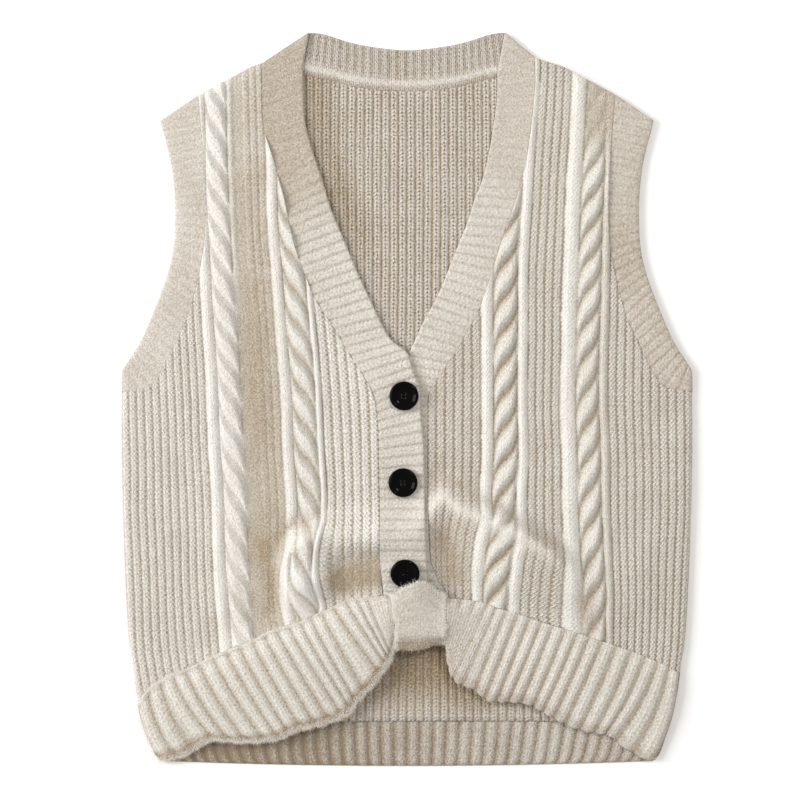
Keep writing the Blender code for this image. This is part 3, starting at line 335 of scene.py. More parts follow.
def frontFloor(x, y):  # underside of the front layer
    _, footY, crestY, crestZ, shelfY, shelfZ, seamZ = [curve(x) for curve in foldCurves]
    rest = garment["restHeight"]
    seamY = seamHeight(x)
    upper = rest + (crestZ - rest) * ease((footY - y) / (footY - crestY)) ** 1.5
    middle = crestZ + (shelfZ - crestZ) * ease((crestY - y) / (crestY - shelfY))
    lower = shelfZ + (seamZ - shelfZ) * ease((shelfY - y) / np.maximum(shelfY - seamY, 4.0))
    height = np.where(y >= crestY, upper, np.where(y >= shelfY, middle, lower))
    return height - garment["edgeDrop"] * edgeFall(x, y)


def floorOf(side, x, y):
    look = frontBandLook
    if side > 0:
        return frontFloor(x, y)
    across = ease((x - look["climbFrom"]) / look["climbWidth"])
    along = ease((look["lappedFrom"] + look["climbLength"] - y) / look["climbLength"])
    return frontFloor(x, y) + look["lap"] * (across * along)


def steepness(x, y, most=1.9):
    reach = 1.5
    across = (frontFloor(x + reach, y) - frontFloor(x - reach, y)) / (2 * reach)
    along = (frontFloor(x, y + reach) - frontFloor(x, y - reach)) / (2 * reach)
    return np.minimum(np.sqrt(1 + across * across + along * along), most)


def softLines(x, y, table):  # sum of soft uneven troughs and ridges, each along a line of its own
    total = np.zeros_like(x)
    for startX, startY, endX, endY, halfWidth, height in table:
        along = np.array([endX - startX, endY - startY], float)
        length = np.hypot(*along)
        along /= length
        reach = (x - startX) * along[0] + (y - startY) * along[1]
        aside = -(x - startX) * along[1] + (y - startY) * along[0]
        aside = aside + 2.5 * np.sin(reach * 0.09 + startX)
        end = min(12.0, 1.2 * halfWidth)
        fade = ease((reach + end) / (2 * end)) * ease((length + end - reach) / (2 * end))
        total += height * fade * np.exp(-(aside / halfWidth) ** 2)
    return total


def flatGrid(columns, rows):
    bm = bmesh.new()
    bmesh.ops.create_grid(bm, x_segments=columns, y_segments=rows, size=0.5)
    return bm


def thicken(bm):  # a second layer at z = 1 over the first one, closed round the rim
    made = bmesh.ops.extrude_face_region(bm, geom=bm.faces[:], use_keep_orig=True)
    raised = [part for part in made["geom"] if isinstance(part, bmesh.types.BMVert)]
    bmesh.ops.translate(bm, verts=raised, vec=(0, 0, 1))
    bmesh.ops.recalc_face_normals(bm, faces=bm.faces)


def meshFrom(name, bm):
    mesh = bpy.data.meshes.new(name)
    bm.to_mesh(mesh)
    bm.free()
    return mesh


def addObject(name, data, material=None):
    if material:
        data.materials.append(material)
    made = bpy.data.objects.new(name, data)
    bpy.context.scene.collection.objects.link(made)
    return made


def readAll(items, label, width=1, kind=float):  # one value, or a row of them, for each item of a mesh
    values = np.empty(len(items) * width, kind)
    items.foreach_get(label, values)
    return values.reshape(-1, width) if width > 1 else values


def clothPiece(name, bm, shape, material, stitchesOfFaces=None):
    # shape takes the flat places and says where both faces go, the stitches across and along, and the tone
    thicken(bm)
    mesh = meshFrom(name, bm)
    flat = readAll(mesh.vertices, "co", 3)
    made = shape(flat[:, 0], flat[:, 1])
    isTop = flat[:, 2] > 0.5
    places = np.where(isTop[:, None], np.stack(made["top"], 1), np.stack(made["under"], 1))
    places[:, 1] -= garment["length"] / 2
    mesh.vertices.foreach_set("co", (places * mm).ravel())
    corners = readAll(mesh.loops, "vertex_index", 1, int)
    if stitchesOfFaces:
        stitches = stitchesOfFaces(mesh, flat, corners)
    else:
        stitches = np.stack(made["stitches"], 1)[corners]
    mesh.uv_layers.new(name="knit").data.foreach_set("uv", stitches.astype(float).ravel())
    made.setdefault("fuzz", garment["leastFuzz"])
    made["fuzz"] = made["fuzz"] * isTop
    for label in ("tone", "grain", "fuzz"):
        values = np.array(np.broadcast_to(made[label], len(flat)), float)
        mesh.attributes.new(label, "FLOAT", "POINT").data.foreach_set("value", values)
    mesh.polygons.foreach_set("use_smooth", np.ones(len(mesh.polygons), bool))
    mesh.update()
    return addObject(name, mesh, material)


def declare(piece, nodes):
    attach(piece, "root")
    if nodes:
        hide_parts(*nodes)


def insideRing(x, y, ring):
    inside = np.zeros(len(x), bool)
    for (ax, ay), (bx, by) in zip(ring, ring[1:] + ring[:1]):
        if ay != by:
            crosses = (ay > y) != (by > y)
            inside ^= crosses & (x < ax + (y - ay) * (bx - ax) / (by - ay))
    return inside


def distanceToLine(x, y, line):
    nearest = np.full(len(x), 1e9)
    for (ax, ay), (bx, by) in zip(line, line[1:]):
        dx, dy = bx - ax, by - ay
        t = np.clip(((x - ax) * dx + (y - ay) * dy) / max(dx * dx + dy * dy, 1e-9), 0, 1)
        nearest = np.minimum(nearest, np.hypot(x - ax - t * dx, y - ay - t * dy))
    return nearest


def fewerPoints(line, most=0.04):  # drops the points of a line that lie within most of its longer chords
    (ax, ay), (bx, by) = line[0], line[-1]
    chord = max(math.hypot(bx - ax, by - ay), 1e-9)
    aside = [abs((bx - ax) * (y - ay) - (by - ay) * (x - ax)) / chord for x, y in line]
    farthest = max(range(len(line)), key=aside.__getitem__)
    if aside[farthest] <= most:
        return [line[0], line[-1]]
    return fewerPoints(line[: farthest + 1], most)[:-1] + fewerPoints(line[farthest:], most)


def pointsOf(xs, ys):
    return [(float(x), float(y)) for x, y in zip(xs, ys)]


def faceCentres(bm):
    return np.array([face.calc_center_median()[:2] for face in bm.faces])


def cellOf(x, y, size):
    return int(x // size), int(y // size)


def cutToRing(bm, ring, margin):  # cuts a flat grid along a closed ring and drops what lies outside it
    closed = ring + ring[:1]
    centres = faceCentres(bm)
    keep = insideRing(centres[:, 0], centres[:, 1], ring)
    distance = distanceToLine(centres[:, 0], centres[:, 1], closed)
    cells, gone = {}, []  # the faces near the ring, by square cell, so that each cut looks at a few
    for face, (x, y), inside, far in zip(bm.faces, centres, keep, distance):
        if far < margin:
            cells.setdefault(cellOf(x, y, margin), {})[face] = True
        elif not inside:
            gone.append(face)
    bmesh.ops.delete(bm, geom=gone, context="FACES")
    for a, b in zip(closed, closed[1:]):
        start, end = Vector((*a, 0)), Vector((*b, 0))
        along = end - start
        if along.length < 1e-6:
            continue
        lowColumn, lowRow = cellOf(min(a[0], b[0]) - margin, min(a[1], b[1]) - margin, margin)
        highColumn, highRow = cellOf(max(a[0], b[0]) + margin, max(a[1], b[1]) + margin, margin)
        picked = {}
        for column in range(lowColumn, highColumn + 1):
            for row in range(lowRow, highRow + 1):
                picked.update(cells.get((column, row), {}))
        edges = {edge: True for face in picked for edge in face.edges}
        verts = {vert: True for face in picked for vert in face.verts}
        normal = Vector((along.y, -along.x, 0)).normalized()
        made = bmesh.ops.bisect_plane(
            bm, geom=[*picked, *edges, *verts], dist=1e-4, plane_co=start, plane_no=normal
        )
        for part in made["geom_cut"]:
            for face in part.link_faces:
                x, y, _ = face.calc_center_median()
                cells.setdefault(cellOf(x, y, margin), {})[face] = True
    centres = faceCentres(bm)
    keep = insideRing(centres[:, 0], centres[:, 1], ring)
    outside = [face for face, inside in zip(bm.faces, keep) if not inside]
    bmesh.ops.delete(bm, geom=outside, context="FACES")


def alongBand(rows, steps=24):  # a band's column curves, and how far along it each step between its rows is
    columns = columnsOf(rows)
    numbers = np.linspace(0, len(rows) - 1, steps * (len(rows) - 1) + 1)
    middleX = (columns[0](numbers) + columns[2](numbers)) / 2
    middleY = (columns[1](numbers) + columns[3](numbers)) / 2
    reach = np.concatenate([[0.0], np.cumsum(np.hypot(np.diff(middleX), np.diff(middleY)))])
    return columns, numbers, reach


def bandSeam(rows, step=3.2):
    columns, numbers, reach = alongBand(rows)
    count = int(reach[-1] / step)
    t = np.interp(np.linspace(0, reach[-1], count + 1), reach, numbers)
    return fewerPoints(pointsOf(columns[2](t), columns[3](t)))


def bandPlaces(band, width, along, share):  # flat places in a band, and its free edge and seam there
    columns, numbers, reach = band
    n = np.interp(along * reach[-1], reach, numbers)
    edgeX, edgeY, seamX, seamY = [curve(n) for curve in columns]
    inner = share * (1 - garment["seamGap"] / width)
    return mix(edgeX, seamX, inner), mix(edgeY, seamY, inner), edgeX, edgeY, seamX, seamY


def bandMarks(width, edge=1.4, inner=14):  # shares across a band, closer at both edges, which round over
    near = [0.0, 0.06 * edge, 0.25 * edge, 0.6 * edge, edge]
    middle = list(np.linspace(edge, width - edge, inner + 1))[1:-1]
    far = [width - d for d in reversed(near)]
    return np.array(near + middle + far) / width


def remapped(flat, marks):  # from a grid's even columns or rows to the marks
    return np.interp((flat + 0.5) * (len(marks) - 1), np.arange(len(marks)), marks)


class Socket:  # one output of a node, ready for arithmetic
    def __init__(self, tree, link):
        self.tree, self.link = tree, link

    def maths(self, operation, *others):
        return self.tree.node("ShaderNodeMath", {"operation": operation}, dict(enumerate(others)))

    def __add__(self, other):
        return self.maths("ADD", self, other)

    def __radd__(self, other):
        return self.maths("ADD", other, self)

    def __sub__(self, other):
        return self.maths("SUBTRACT", self, other)

    def __rsub__(self, other):
        return self.maths("SUBTRACT", other, self)

    def __mul__(self, other):
        return self.maths("MULTIPLY", self, other)

    def __rmul__(self, other):
        return self.maths("MULTIPLY", other, self)

    def __abs__(self):
        return self.maths("ABSOLUTE", self)

    def fraction(self):
        return self.maths("FRACT", self)

    def clamped(self):
        return self.tree.node("ShaderNodeClamp", {}, {"Value": self})


class Finish:  # a material and its node tree
    def __init__(self, name):
        self.material = bpy.data.materials.new(name)
        self.material.use_nodes = True
        self.nodes = self.material.node_tree.nodes
        self.links = self.material.node_tree.links
        self.shader = self.nodes["Principled BSDF"]

    def node(self, kind, settings, inputs, output=0):
        made = self.nodes.new(kind)
        for key, value in settings.items():
            setattr(made, key, value)
        for key, value in inputs.items():
            self.put(made.inputs[key], value)
        return Socket(self, made.outputs[output])

    def put(self, socket, value):
        if isinstance(value, Socket):
            self.links.new(value.link, socket)
        else:
            socket.default_value = value

    def surface(self, values):
        for name, value in values.items():
            self.put(self.shader.inputs[name], value)

    def colours(self, share, low, high):
        ends = {0: share, 6: (*low, 1.0), 7: (*high, 1.0)}
        return self.node("ShaderNodeMix", {"data_type": "RGBA"}, ends, 2)

    def noise(self, scale, detail=2.0, roughness=0.5):
        place = self.node("ShaderNodeTexCoord", {}, {}, "Object")
        values = {"Vector": place, "Scale": scale, "Detail": detail, "Roughness": roughness}
        return self.node("ShaderNodeTexNoise", {"noise_dimensions": "3D"}, values, "Fac")

    def attribute(self, name):
        return self.node("ShaderNodeAttribute", {"attribute_name": name}, {}, "Fac")


def knittedWool(name, look):
    wool = Finish(name)
    uv = wool.node("ShaderNodeUVMap", {"uv_map": "knit"}, {})
    across = wool.node("ShaderNodeSeparateXYZ", {}, {0: uv}, "X")
    along = wool.node("ShaderNodeSeparateXYZ", {}, {0: uv}, "Y")
    tone, grain = wool.attribute("tone"), wool.attribute("grain")
    fuzz = wool.noise(look["fuzzScale"], 3.0, 0.65)
    clump = wool.noise(look["clumpScale"])
    patch = wool.noise(look["patchScale"])
    zigzag = abs(along.fraction() * 2 - 1) - 0.5
    wander = (clump - 0.5) * look["columnWander"] + zigzag * look["zigzag"]
    column = abs((across + wander).fraction() * 2 - 1)  # 0 in a column's middle, 1 at its sides
    row = along + column * look["stitchLean"] + (clump - 0.5) * look["rowWander"]
    row = abs(row.fraction() * 2 - 1)  # 1 between two stitches
    sideways = column * 2 - 1
    stitch = (1 - sideways * sideways) * (1 - row * row * look["stitchWaist"])
    gap = column * column * (row * 0.75 + 0.25)
    dot = (1 - column * 2.6).clamped() * row * row  # the pit between a column's two legs
    # gaps and pits darken the colour, painted shade in the knit's hollows; the raised legs lighten it, a
    # painted highlight
    pits = gap * look["gapDark"] + dot * look["dotDark"]
    share = tone * (1 - grain * pits * (clump + 0.5)) + grain * (stitch - 0.55) * look["stitchTone"]
    share = share + (fuzz - 0.5) * look["fuzzTone"] + (patch - 0.5) * look["patchTone"]
    height = grain * (stitch * look["stitchBump"] - dot * look["dotBump"]) + fuzz * look["fuzzBump"]
    wool.surface({
        "Base Color": wool.colours(share.clamped(), look["shade"], look["light"]),
        "Normal": wool.node("ShaderNodeBump", {}, {"Strength": 1.0, "Distance": mm, "Height": height}),
        "Roughness": look["roughness"], "Specular IOR Level": look["specular"],
        "Sheen Weight": look["sheen"], "Sheen Roughness": 0.55, "Sheen Tint": (1.0, 0.97, 0.92, 1.0),
    })
    return wool.material


woolFinish = {
    "light": (0.80, 0.78, 0.742), "shade": (0.33, 0.252, 0.163), "roughness": 0.95, "sheen": 0.12,
    "specular": 0.12, "fuzzScale": 720.0, "clumpScale": 260.0, "patchScale": 32.0,
    "zigzag": 0.26, "columnWander": 0.3, "rowWander": 0.8, "stitchLean": 0.55, "stitchWaist": 0.62,
    "gapDark": 0.75, "dotDark": 0.1, "stitchTone": 0.36, "fuzzTone": 1.5, "patchTone": 0.24,
    "stitchBump": 1.0, "dotBump": 0.1, "fuzzBump": 1.3,
}
bandFinish = {
    **woolFinish, "shade": (0.34, 0.268, 0.188), "zigzag": 0.1, "dotDark": 0.4, "dotBump": 0.4,
    "stitchTone": 0.2, "stitchBump": 0.6,
}
insideFinish = {
    **woolFinish, "light": (0.74, 0.72, 0.685), "shade": (0.25, 0.17, 0.08), "zigzag": 0.08,
    "gapDark": 0.35, "dotDark": 1.1, "dotBump": 0.9, "stitchTone": 0.22, "stitchBump": 0.8,
}
hemFinish = {**bandFinish, "shade": (0.32, 0.25, 0.172)}
backHemFinish = {**bandFinish, "shade": (0.27, 0.21, 0.145)}
fibreFinish = {
    "light": (0.98, 0.96, 0.92), "shade": (0.90, 0.86, 0.79), "patchScale": 400.0, "roughness": 0.9,
}
plasticFinish = {
    "colour": (0.0015, 0.0014, 0.0014), "worn": (0.004, 0.0035, 0.0035), "roughness": 0.08,
    "scuffScale": 700.0, "scuffRoughness": 0.08, "specular": 0.05,
}


def woolFibre(look):
    fibre = Finish("loose wool fibre")
    patch = fibre.noise(look["patchScale"])
    fibre.surface({
        "Base Color": fibre.colours(patch, look["shade"], look["light"]), "Roughness": look["roughness"],
    })
    return fibre.material


def polishedPlastic(look):
    plastic = Finish("black button plastic")
    scuff = plastic.noise(look["scuffScale"], 4.0, 0.7)
    plastic.surface({
        "Base Color": plastic.colours(scuff, look["colour"], look["worn"]),
        "Roughness": look["roughness"] + scuff * look["scuffRoughness"],
        "Specular IOR Level": look["specular"],
    })
    return plastic.material


wool = knittedWool("cream knitted wool", woolFinish)
bandWool = knittedWool("cream rib wool", bandFinish)
insideWool = knittedWool("cream wool, wrong side", insideFinish)
hemWool = knittedWool("cream hem wool", hemFinish)
backHemWool = knittedWool("cream rib wool in the shade", backHemFinish)
fibreWool = woolFibre(fibreFinish)
buttonPlastic = polishedPlastic(plasticFinish)
print("materials made")


backLook = {
    "ribPitch": 6.7, "ribHeight": 1.3, "hemTop": 35.6, "top": 566.0, "columnsPerRib": 6, "rowStep": 4.6,
    "stitchLength": 3.0, "flat": (0.456, 0.53), "neckFrom": 299.0,
    # painted shade under the raised front hem, a painted shadow beside the left band and a painted shade spot
    # under the right hem's edge
    "underHem": {"low": 36.0, "full": 80.0, "fading": 160.0, "gone": 200.0, "dark": 0.72},
    "besideBand": {"reach": 34.0, "fade": 22.0, "low": 370.0, "full": 460.0, "dark": 0.42},
    "cornerShade": (50, 64, 26, 20, 0.5),
}
backHemLook = {
    "ribHeight": 1.4, "columnsPerRib": 8, "rows": 20, "flat": (0.421, 0.034), "area": 0.0135,
    # painted shade: darker grooves, darker towards the left and a darker spot at the left corner, under the
    # left front hem
    "grooveTone": 0.14, "ribTone": 0.48, "leftShade": 0.26, "cornerShade": (-140, 15, 24, 9, 0.25),
    "grain": 0.35,
}


def softSpot(x, y, spot):  # a round shade: x, y, half width, half height, how dark
    placeX, placeY, halfWidth, halfHeight, dark = spot
    return dark * np.exp(-((x - placeX) / halfWidth) ** 2 - ((y - placeY) / halfHeight) ** 2)


def backTop(x, y, relief):
    return garment["backWall"] + relief - (1.0 + 0.5 * relief) * edgeFall(x, y)


def neckRows():  # the neckband's rows from the left shoulder round to the right one
    rows = neckbandLook["rows"]
    return [(-edgeX, edgeY, -seamX, seamY) for edgeX, edgeY, seamX, seamY in rows] + rows[-2::-1]


def backRing():
    heights = np.linspace(backLook["hemTop"], backLook["neckFrom"], 60)
    side = fewerPoints(pointsOf(outlineHalf(heights), heights))
    arm = bandSeam(armholeLook["rows"])[::-1]
    shoulder = [(x, y) for x, y in garment["outline"] if 534 < y < 564 and x < 160]
    neck = [p for p in bandSeam(neckRows()) if p[0] > 0.5]
    half = side + arm[1:] + shoulder + neck[::-1]
    return half + [(-x, y) for x, y in reversed(half)]


def makeBackPanel():
    look = backLook
    ring = backRing()
    halfWidth = float(outlineHalf(260))
    ribs = round(2 * halfWidth / look["ribPitch"])
    low, high = look["hemTop"], look["top"]
    bm = flatGrid(ribs * look["columnsPerRib"], int((high - low) / look["rowStep"]))
    bmesh.ops.scale(bm, vec=(2 * halfWidth, high - low, 1), verts=bm.verts)
    bmesh.ops.translate(bm, vec=(0, (high + low) / 2, 0), verts=bm.verts)
    cutToRing(bm, ring, 9.0)
    seams = [p for p in ring if p[1] > look["neckFrom"]]
    edgePoints = sorted((row[1], row[0]) for row in frontBandLook[-1][2:])
    leftEdge = SmoothCurve([p[0] for p in edgePoints], [p[1] for p in edgePoints])
    hem, band = look["underHem"], look["besideBand"]

    def shape(x, y):
        wander = 0.5 * waviness(x, y, 2.0)
        rib = (x + halfWidth + wander) * ribs / (2 * halfWidth)
        relief = look["ribHeight"] * ribbed(rib) + 0.35 * waviness(x, y, 0.4)
        soft = 0.88 + 0.12 * rounded(distanceToLine(x, y, seams), 2.0)
        low = ease((hem["gone"] - y) / (hem["gone"] - hem["fading"]))
        under = ease((y - hem["low"]) / (hem["full"] - hem["low"])) * low
        beside = ease((band["reach"] - x - leftEdge(y)) / band["fade"])
        # the tone holds painted shade: darker between the ribs, under the front hem, beside the left band and
        # under the right hem's edge
        tone = 0.33 + 0.42 * ribbed(rib, 1.0)
        tone = tone * (1 - hem["dark"] * under) * (1 - softSpot(x, y, look["cornerShade"]))
        tone = tone * (1 - band["dark"] * beside * ease((y - band["low"]) / (band["full"] - band["low"])))
        return {
            "top": (x, y, backTop(x, y, relief) * soft), "under": (x, y, np.zeros_like(x)),
            "stitches": (rib, y / look["stitchLength"]), "tone": tone, "grain": 1 - 0.4 * low,
        }

    piece = clothPiece("backPanel", bm, shape, insideWool)
    declare(piece, ["back_panel"])


def makeBackHem():
    look = backHemLook
    corner = garment["outline"][0]
    topY = backLook["hemTop"] - garment["seamGap"]
    ribs = round(2 * float(outlineHalf(20)) / frontHemLook["ribPitch"])

    def shape(s, t):
        across, level = s + 0.5, t + 0.5
        x = (2 * across - 1) * outlineHalf(mix(corner[1], topY, level))
        bottom = corner[1] * (x / corner[0]) ** 2
        y = mix(bottom, topY, level)
        rib = across * ribs
        lowRound = 0.35 + 0.65 * rounded(y - bottom, 3.0)
        topRound = 0.86 + 0.14 * rounded(topY - y, 1.5)
        top = backTop(x, y, look["ribHeight"] * ribbed(rib, 0.9)) * lowRound * topRound
        # darker in the grooves, towards the left and at the left corner: painted shade
        tone = look["grooveTone"] + look["ribTone"] * ribbed(rib, 1.5) * (0.8 + 0.2 * waviness(x, y, 1.0))
        tone = tone - look["leftShade"] * ease((60 - x) / 150) - softSpot(x, y, look["cornerShade"])
        return {
            "top": (x, y, top), "under": (x, y, np.zeros_like(x)), "stitches": (2 * rib, y / 3.4),
            "tone": tone, "grain": look["grain"],
        }

    piece = clothPiece("backHem", flatGrid(ribs * look["columnsPerRib"], look["rows"]), shape, backHemWool)
    declare(piece, ["hem_back"])


makeBackPanel()
makeBackHem()
print("back made")


def makeNeckband():
    look = neckbandLook
    band = alongBand(neckRows())
    length = band[2][-1]
    ribs = round(length / look["ribPitch"])
    marks = bandMarks(look["width"], inner=18)

    def shape(s, t):
        share, along = remapped(s, marks), t + 0.5
        x, y, edgeX, _, seamX, _ = bandPlaces(band, look["width"], along, share)
        rib = along * ribs + share * (seamX - edgeX) / look["ribPitch"]  # upright all along
        ridge = np.exp(-((share - look["ridgeAt"]) * look["width"] / look["ridgeWidth"]) ** 2)
        beads = ribbed(length * along / look["beadPitch"], 0.7)
        fade = ease((0.78 - share) / 0.12)
        relief = look["ribHeight"] * ribbed(rib) * fade + look["ridge"] * ridge * (0.75 + 0.35 * beads)
        rim = rounded(share * look["width"], 1.4)
        seam = 0.9 + 0.1 * rounded((1 - share) * look["width"], 1.6)
        return {
            "top": (x, y, mix(0.9, backTop(x, y, relief), rim) * seam), "under": (x, y, 0.9 * (1 - rim)),
            "stitches": (2 * rib, share * look["width"] / 3.4),
            # darker between the ribs, painted shade, and lighter on the raised ridge, a painted highlight
            "tone": 0.42 + 0.24 * ribbed(rib, 1.0) * fade + 0.42 * ridge, "grain": 0.75 * (1 - 0.7 * ridge),
        }

    piece = clothPiece("backNeckband", flatGrid(len(marks) - 1, ribs * 8), shape, insideWool)
    declare(piece, ["back_neckband"])


def makeArmhole(side, label, layer):
    look, inFront = armholeLook, layer == "Front"
    band = alongBand(look["rows"])
    ribs = round(band[2][-1] / look["ribPitch"])
    marks = bandMarks(look["width"], inner=12)

    def shape(s, t):
        share, along = remapped(s, marks), t + 0.5
        x, y, edgeX, edgeY, seamX, seamY = bandPlaces(band, look["width"], along, share)
        x = side * x
        local = np.hypot(edgeX - seamX, edgeY - seamY)
        rib = along * ribs - 2.6 * share * np.clip(1 - along / 0.22, 0, 1)
        rim = rounded(share * local, 1.5)
        seam = 0.92 + 0.08 * rounded((1 - share) * local, 1.8)
        crisp = 0.4 if side < 0 else 0.6 + along
        relief = look["ribHeight"] * ribbed(rib) * (0.75 + 0.25 * rim) * crisp
        # in both layers the tone is darker between the ribs: painted shade
        if inFront:
            floor = garment["restHeight"] - garment["edgeDrop"] * edgeFall(x, y)
            top = floor + (look["wall"] + relief) * seam
            middle = floor + 1.0
            tone = look["tone"][side] + 0.07 * ribbed(rib, 1.0) * rim + 0.08 * waviness(x, y, 3.0)
        else:
            floor = np.zeros_like(x)
            top = backTop(x, y, relief) * seam
            middle = floor + 0.8
            tone = look["backTone"] + 0.14 * ribbed(rib, 1.0)
        return {
            "top": (x, y, mix(middle, top, rim)), "under": (x, y, mix(middle, floor, rim)),
            "stitches": (rib, share * local / 3.6), "tone": tone, "grain": look["grain"][side],
        }

    piece = clothPiece(f"armhole{label}{layer}", flatGrid(len(marks) - 1, ribs * 7), shape, bandWool)
    node = f"armhole_{label.lower()}_"
    declare(piece, [node + layer.lower()])


makeNeckband()
for side, label in sides:
    for layer in ("Front", "Back"):
        makeArmhole(side, label, layer)
print("neckband and armhole bands made")


chestHeight = 252.0  # the height at which the stripes have their own width


def patternBend(side, x, y):  # how far the fold and the handling have shifted the knitting outward
    crestY = crestLine(side * x)
    if side > 0:
        below = np.clip(crestY - y, 0.0, 45.0)
        reach = ease((x - 14) / 25) * ease((140 - x) / 35)
        shift = -(2.4 * ease(below / 24) + 0.11 * below) * reach
    else:
        reach = ease((x - 52) / 16) * ease((116 - x) / 14)
        shift = 5.4 * np.sin(np.pi * np.clip((crestY + 12 - y) / 66, 0, 1)) * reach
    return 0.8 * waviness(x, y, side) + shift


def waleMarks(side, y):  # front seam, inner cable, outer cable and side, at a height and at chest height
    curves = [waleCurves[side][column] for column in (4, 3, 2, 1)]
    return np.stack([curve(y) for curve in curves]), np.array([float(curve(chestHeight)) for curve in curves])


def waleOf(side, x, y):  # distance from the front seam towards the side, as it is at chest height
    marks, chest = waleMarks(side, y)
    n = (x > marks[1]).astype(int) + (x > marks[2])
    pick = np.arange(len(x))
    share = (x - marks[n, pick]) / (marks[n + 1, pick] - marks[n, pick])
    return chest[n] + share * (chest[n + 1] - chest[n]) - chest[0]


def waleLine(side, wale, y):  # where a wale lies at a height
    marks, chest = waleMarks(side, y)
    place = wale + chest[0]
    n = np.clip(np.searchsorted(chest, place, side="right") - 1, 0, 2)
    pick = np.arange(len(y))
    share = (place - chest[n]) / (chest[n + 1] - chest[n])
    return marks[n, pick] + share * (marks[n + 1, pick] - marks[n, pick])


def stripeSpans(side):
    curves = waleCurves[side]
    stripes = frontLook["stripes"][side]
    scale = float(curves[1](chestHeight) - curves[4](chestHeight)) / sum(stripe[1] for stripe in stripes)
    return np.concatenate([[0.0], np.cumsum([stripe[1] * scale for stripe in stripes])]), stripes


def stripeNumber(starts, wale):
    return np.clip(np.searchsorted(starts, wale, side="right") - 1, 0, len(starts) - 2)


def cablePhase(side, number, share, y):  # counts the lobes along a cable; a lobe lies across it in a soft S
    across = 2 * share - 1
    bend = 0.5 * across + 0.5 * across ** 3
    return y / frontLook["twist"][side] - frontLook["slant"] * bend + lobeCurves[side][int(number > 3)](y)


# each kind of stripe gives its relief, its tone and how clear its stitches are; the tone is darker in
# grooves, troughs and cable creases and lighter on crowns and lobes, painted shade and painted highlight

def ribStripe(side, number, count, share, y):
    group = number // 4
    form, crisp = ribbed(share * count), frontLook["crisp"][side][group]
    relief = frontLook["ribHeight"] * (0.3 + 0.7 * crisp) * form
    return relief, 0.66 + 0.26 * crisp * form - frontLook["shadeOf"][side][group], crisp


def troughStripe(side, number, count, share, y):  # with a thin rib along the cable, gone lower down
    thin = ribbed(np.clip((share - 0.62) / 0.36, 0, 1)) * ease((y - 340) / 90)
    return 1.2 * thin, 0.42 + 0.34 * thin, 0.2


def smoothStripe(side, number, count, share, y):
    form = ribbed(share, 0.75)
    relief = frontLook["smoothHeight"] * form * (1 + 0.15 * np.sin(y * 0.11 + number))
    shaded = 0.3 if side > 0 and number == 7 else 0.0
    return relief, 0.80 + 0.22 * form - shaded, 0.35


def cableStripe(side, number, count, share, y):
    across = np.clip(2 * share - 1, -1, 1)
    crease = np.abs(np.cos(np.pi * cablePhase(side, number, share, y)))
    lobe = 1 - crease ** 3.2
    arch = 1 - np.abs(across) ** 3.2
    low = frontLook["cableTone"][side][int(number > 3)]
    lit = arch ** 0.6 * (0.12 + 0.88 * lobe) - 0.35 * crease ** 12
    return frontLook["cableRise"] * (arch * (0.08 + 0.92 * lobe)), low + (0.97 - low) * lit, 0.4


stripeKinds = {"ribs": ribStripe, "trough": troughStripe, "smooth": smoothStripe, "cable": cableStripe}


def frontRelief(side, wale, y):
    starts, stripes = stripeSpans(side)
    number = stripeNumber(starts, wale)
    relief, tone, grain = np.zeros((3, len(wale)))
    for n, (kind, _, count, _) in enumerate(stripes):
        here = number == n
        share = (wale[here] - starts[n]) / (starts[n + 1] - starts[n])
        relief[here], tone[here], grain[here] = stripeKinds[kind](side, n, count, share, y[here])
    if side > 0:  # the outer cable runs out below the shoulder
        faded = ease((y - 474) / 40) * ((number == 6) | (number == 7))
        relief, grain = relief * (1 - 0.8 * faded), grain * (1 - 0.4 * faded)
        tone = mix(tone, 0.32, 0.85 * faded)
    return relief, tone, grain


def frontStitches(side, kind, count, share, y, number):
    rows = y / frontLook["stitchLength"]
    if kind == "ribs":
        return share * count, rows
    if kind == "cable":
        return 3 * cablePhase(side, number, share, y), (2 * share - 1) * 15.5 / frontLook["stitchLength"]
    return share * 2 + number, rows


def frontRing(side):  # the edge of a front, and its seams: hem join, side, armhole seam, shoulder, band seam
    bandEdge = bandSeam(frontBandLook[side])
    arm = bandSeam(armholeLook["rows"])[::-1]
    places = np.linspace(frontLook["hemFrom"][side], max(row[0] for row in frontHemLook[side]), 60)
    hem = fewerPoints(pointsOf(places, hemJoin[side](places)))
    heights = np.linspace(hem[-1][1] + 3, 296, 60)
    outer = fewerPoints(pointsOf(outlineHalf(heights), heights))
    shoulder = [(x, y) for x, y in garment["outline"] if y > 538 and x > bandEdge[0][0] + 3]
    bandPart = [p for p in bandEdge if p[1] > hem[0][1] + 3]
    ring, *seams = [
        [(side * x, y) for x, y in line]
        for line in (hem + outer + arm + shoulder + bandPart, hem, arm, bandPart)
    ]
    return ring, seams


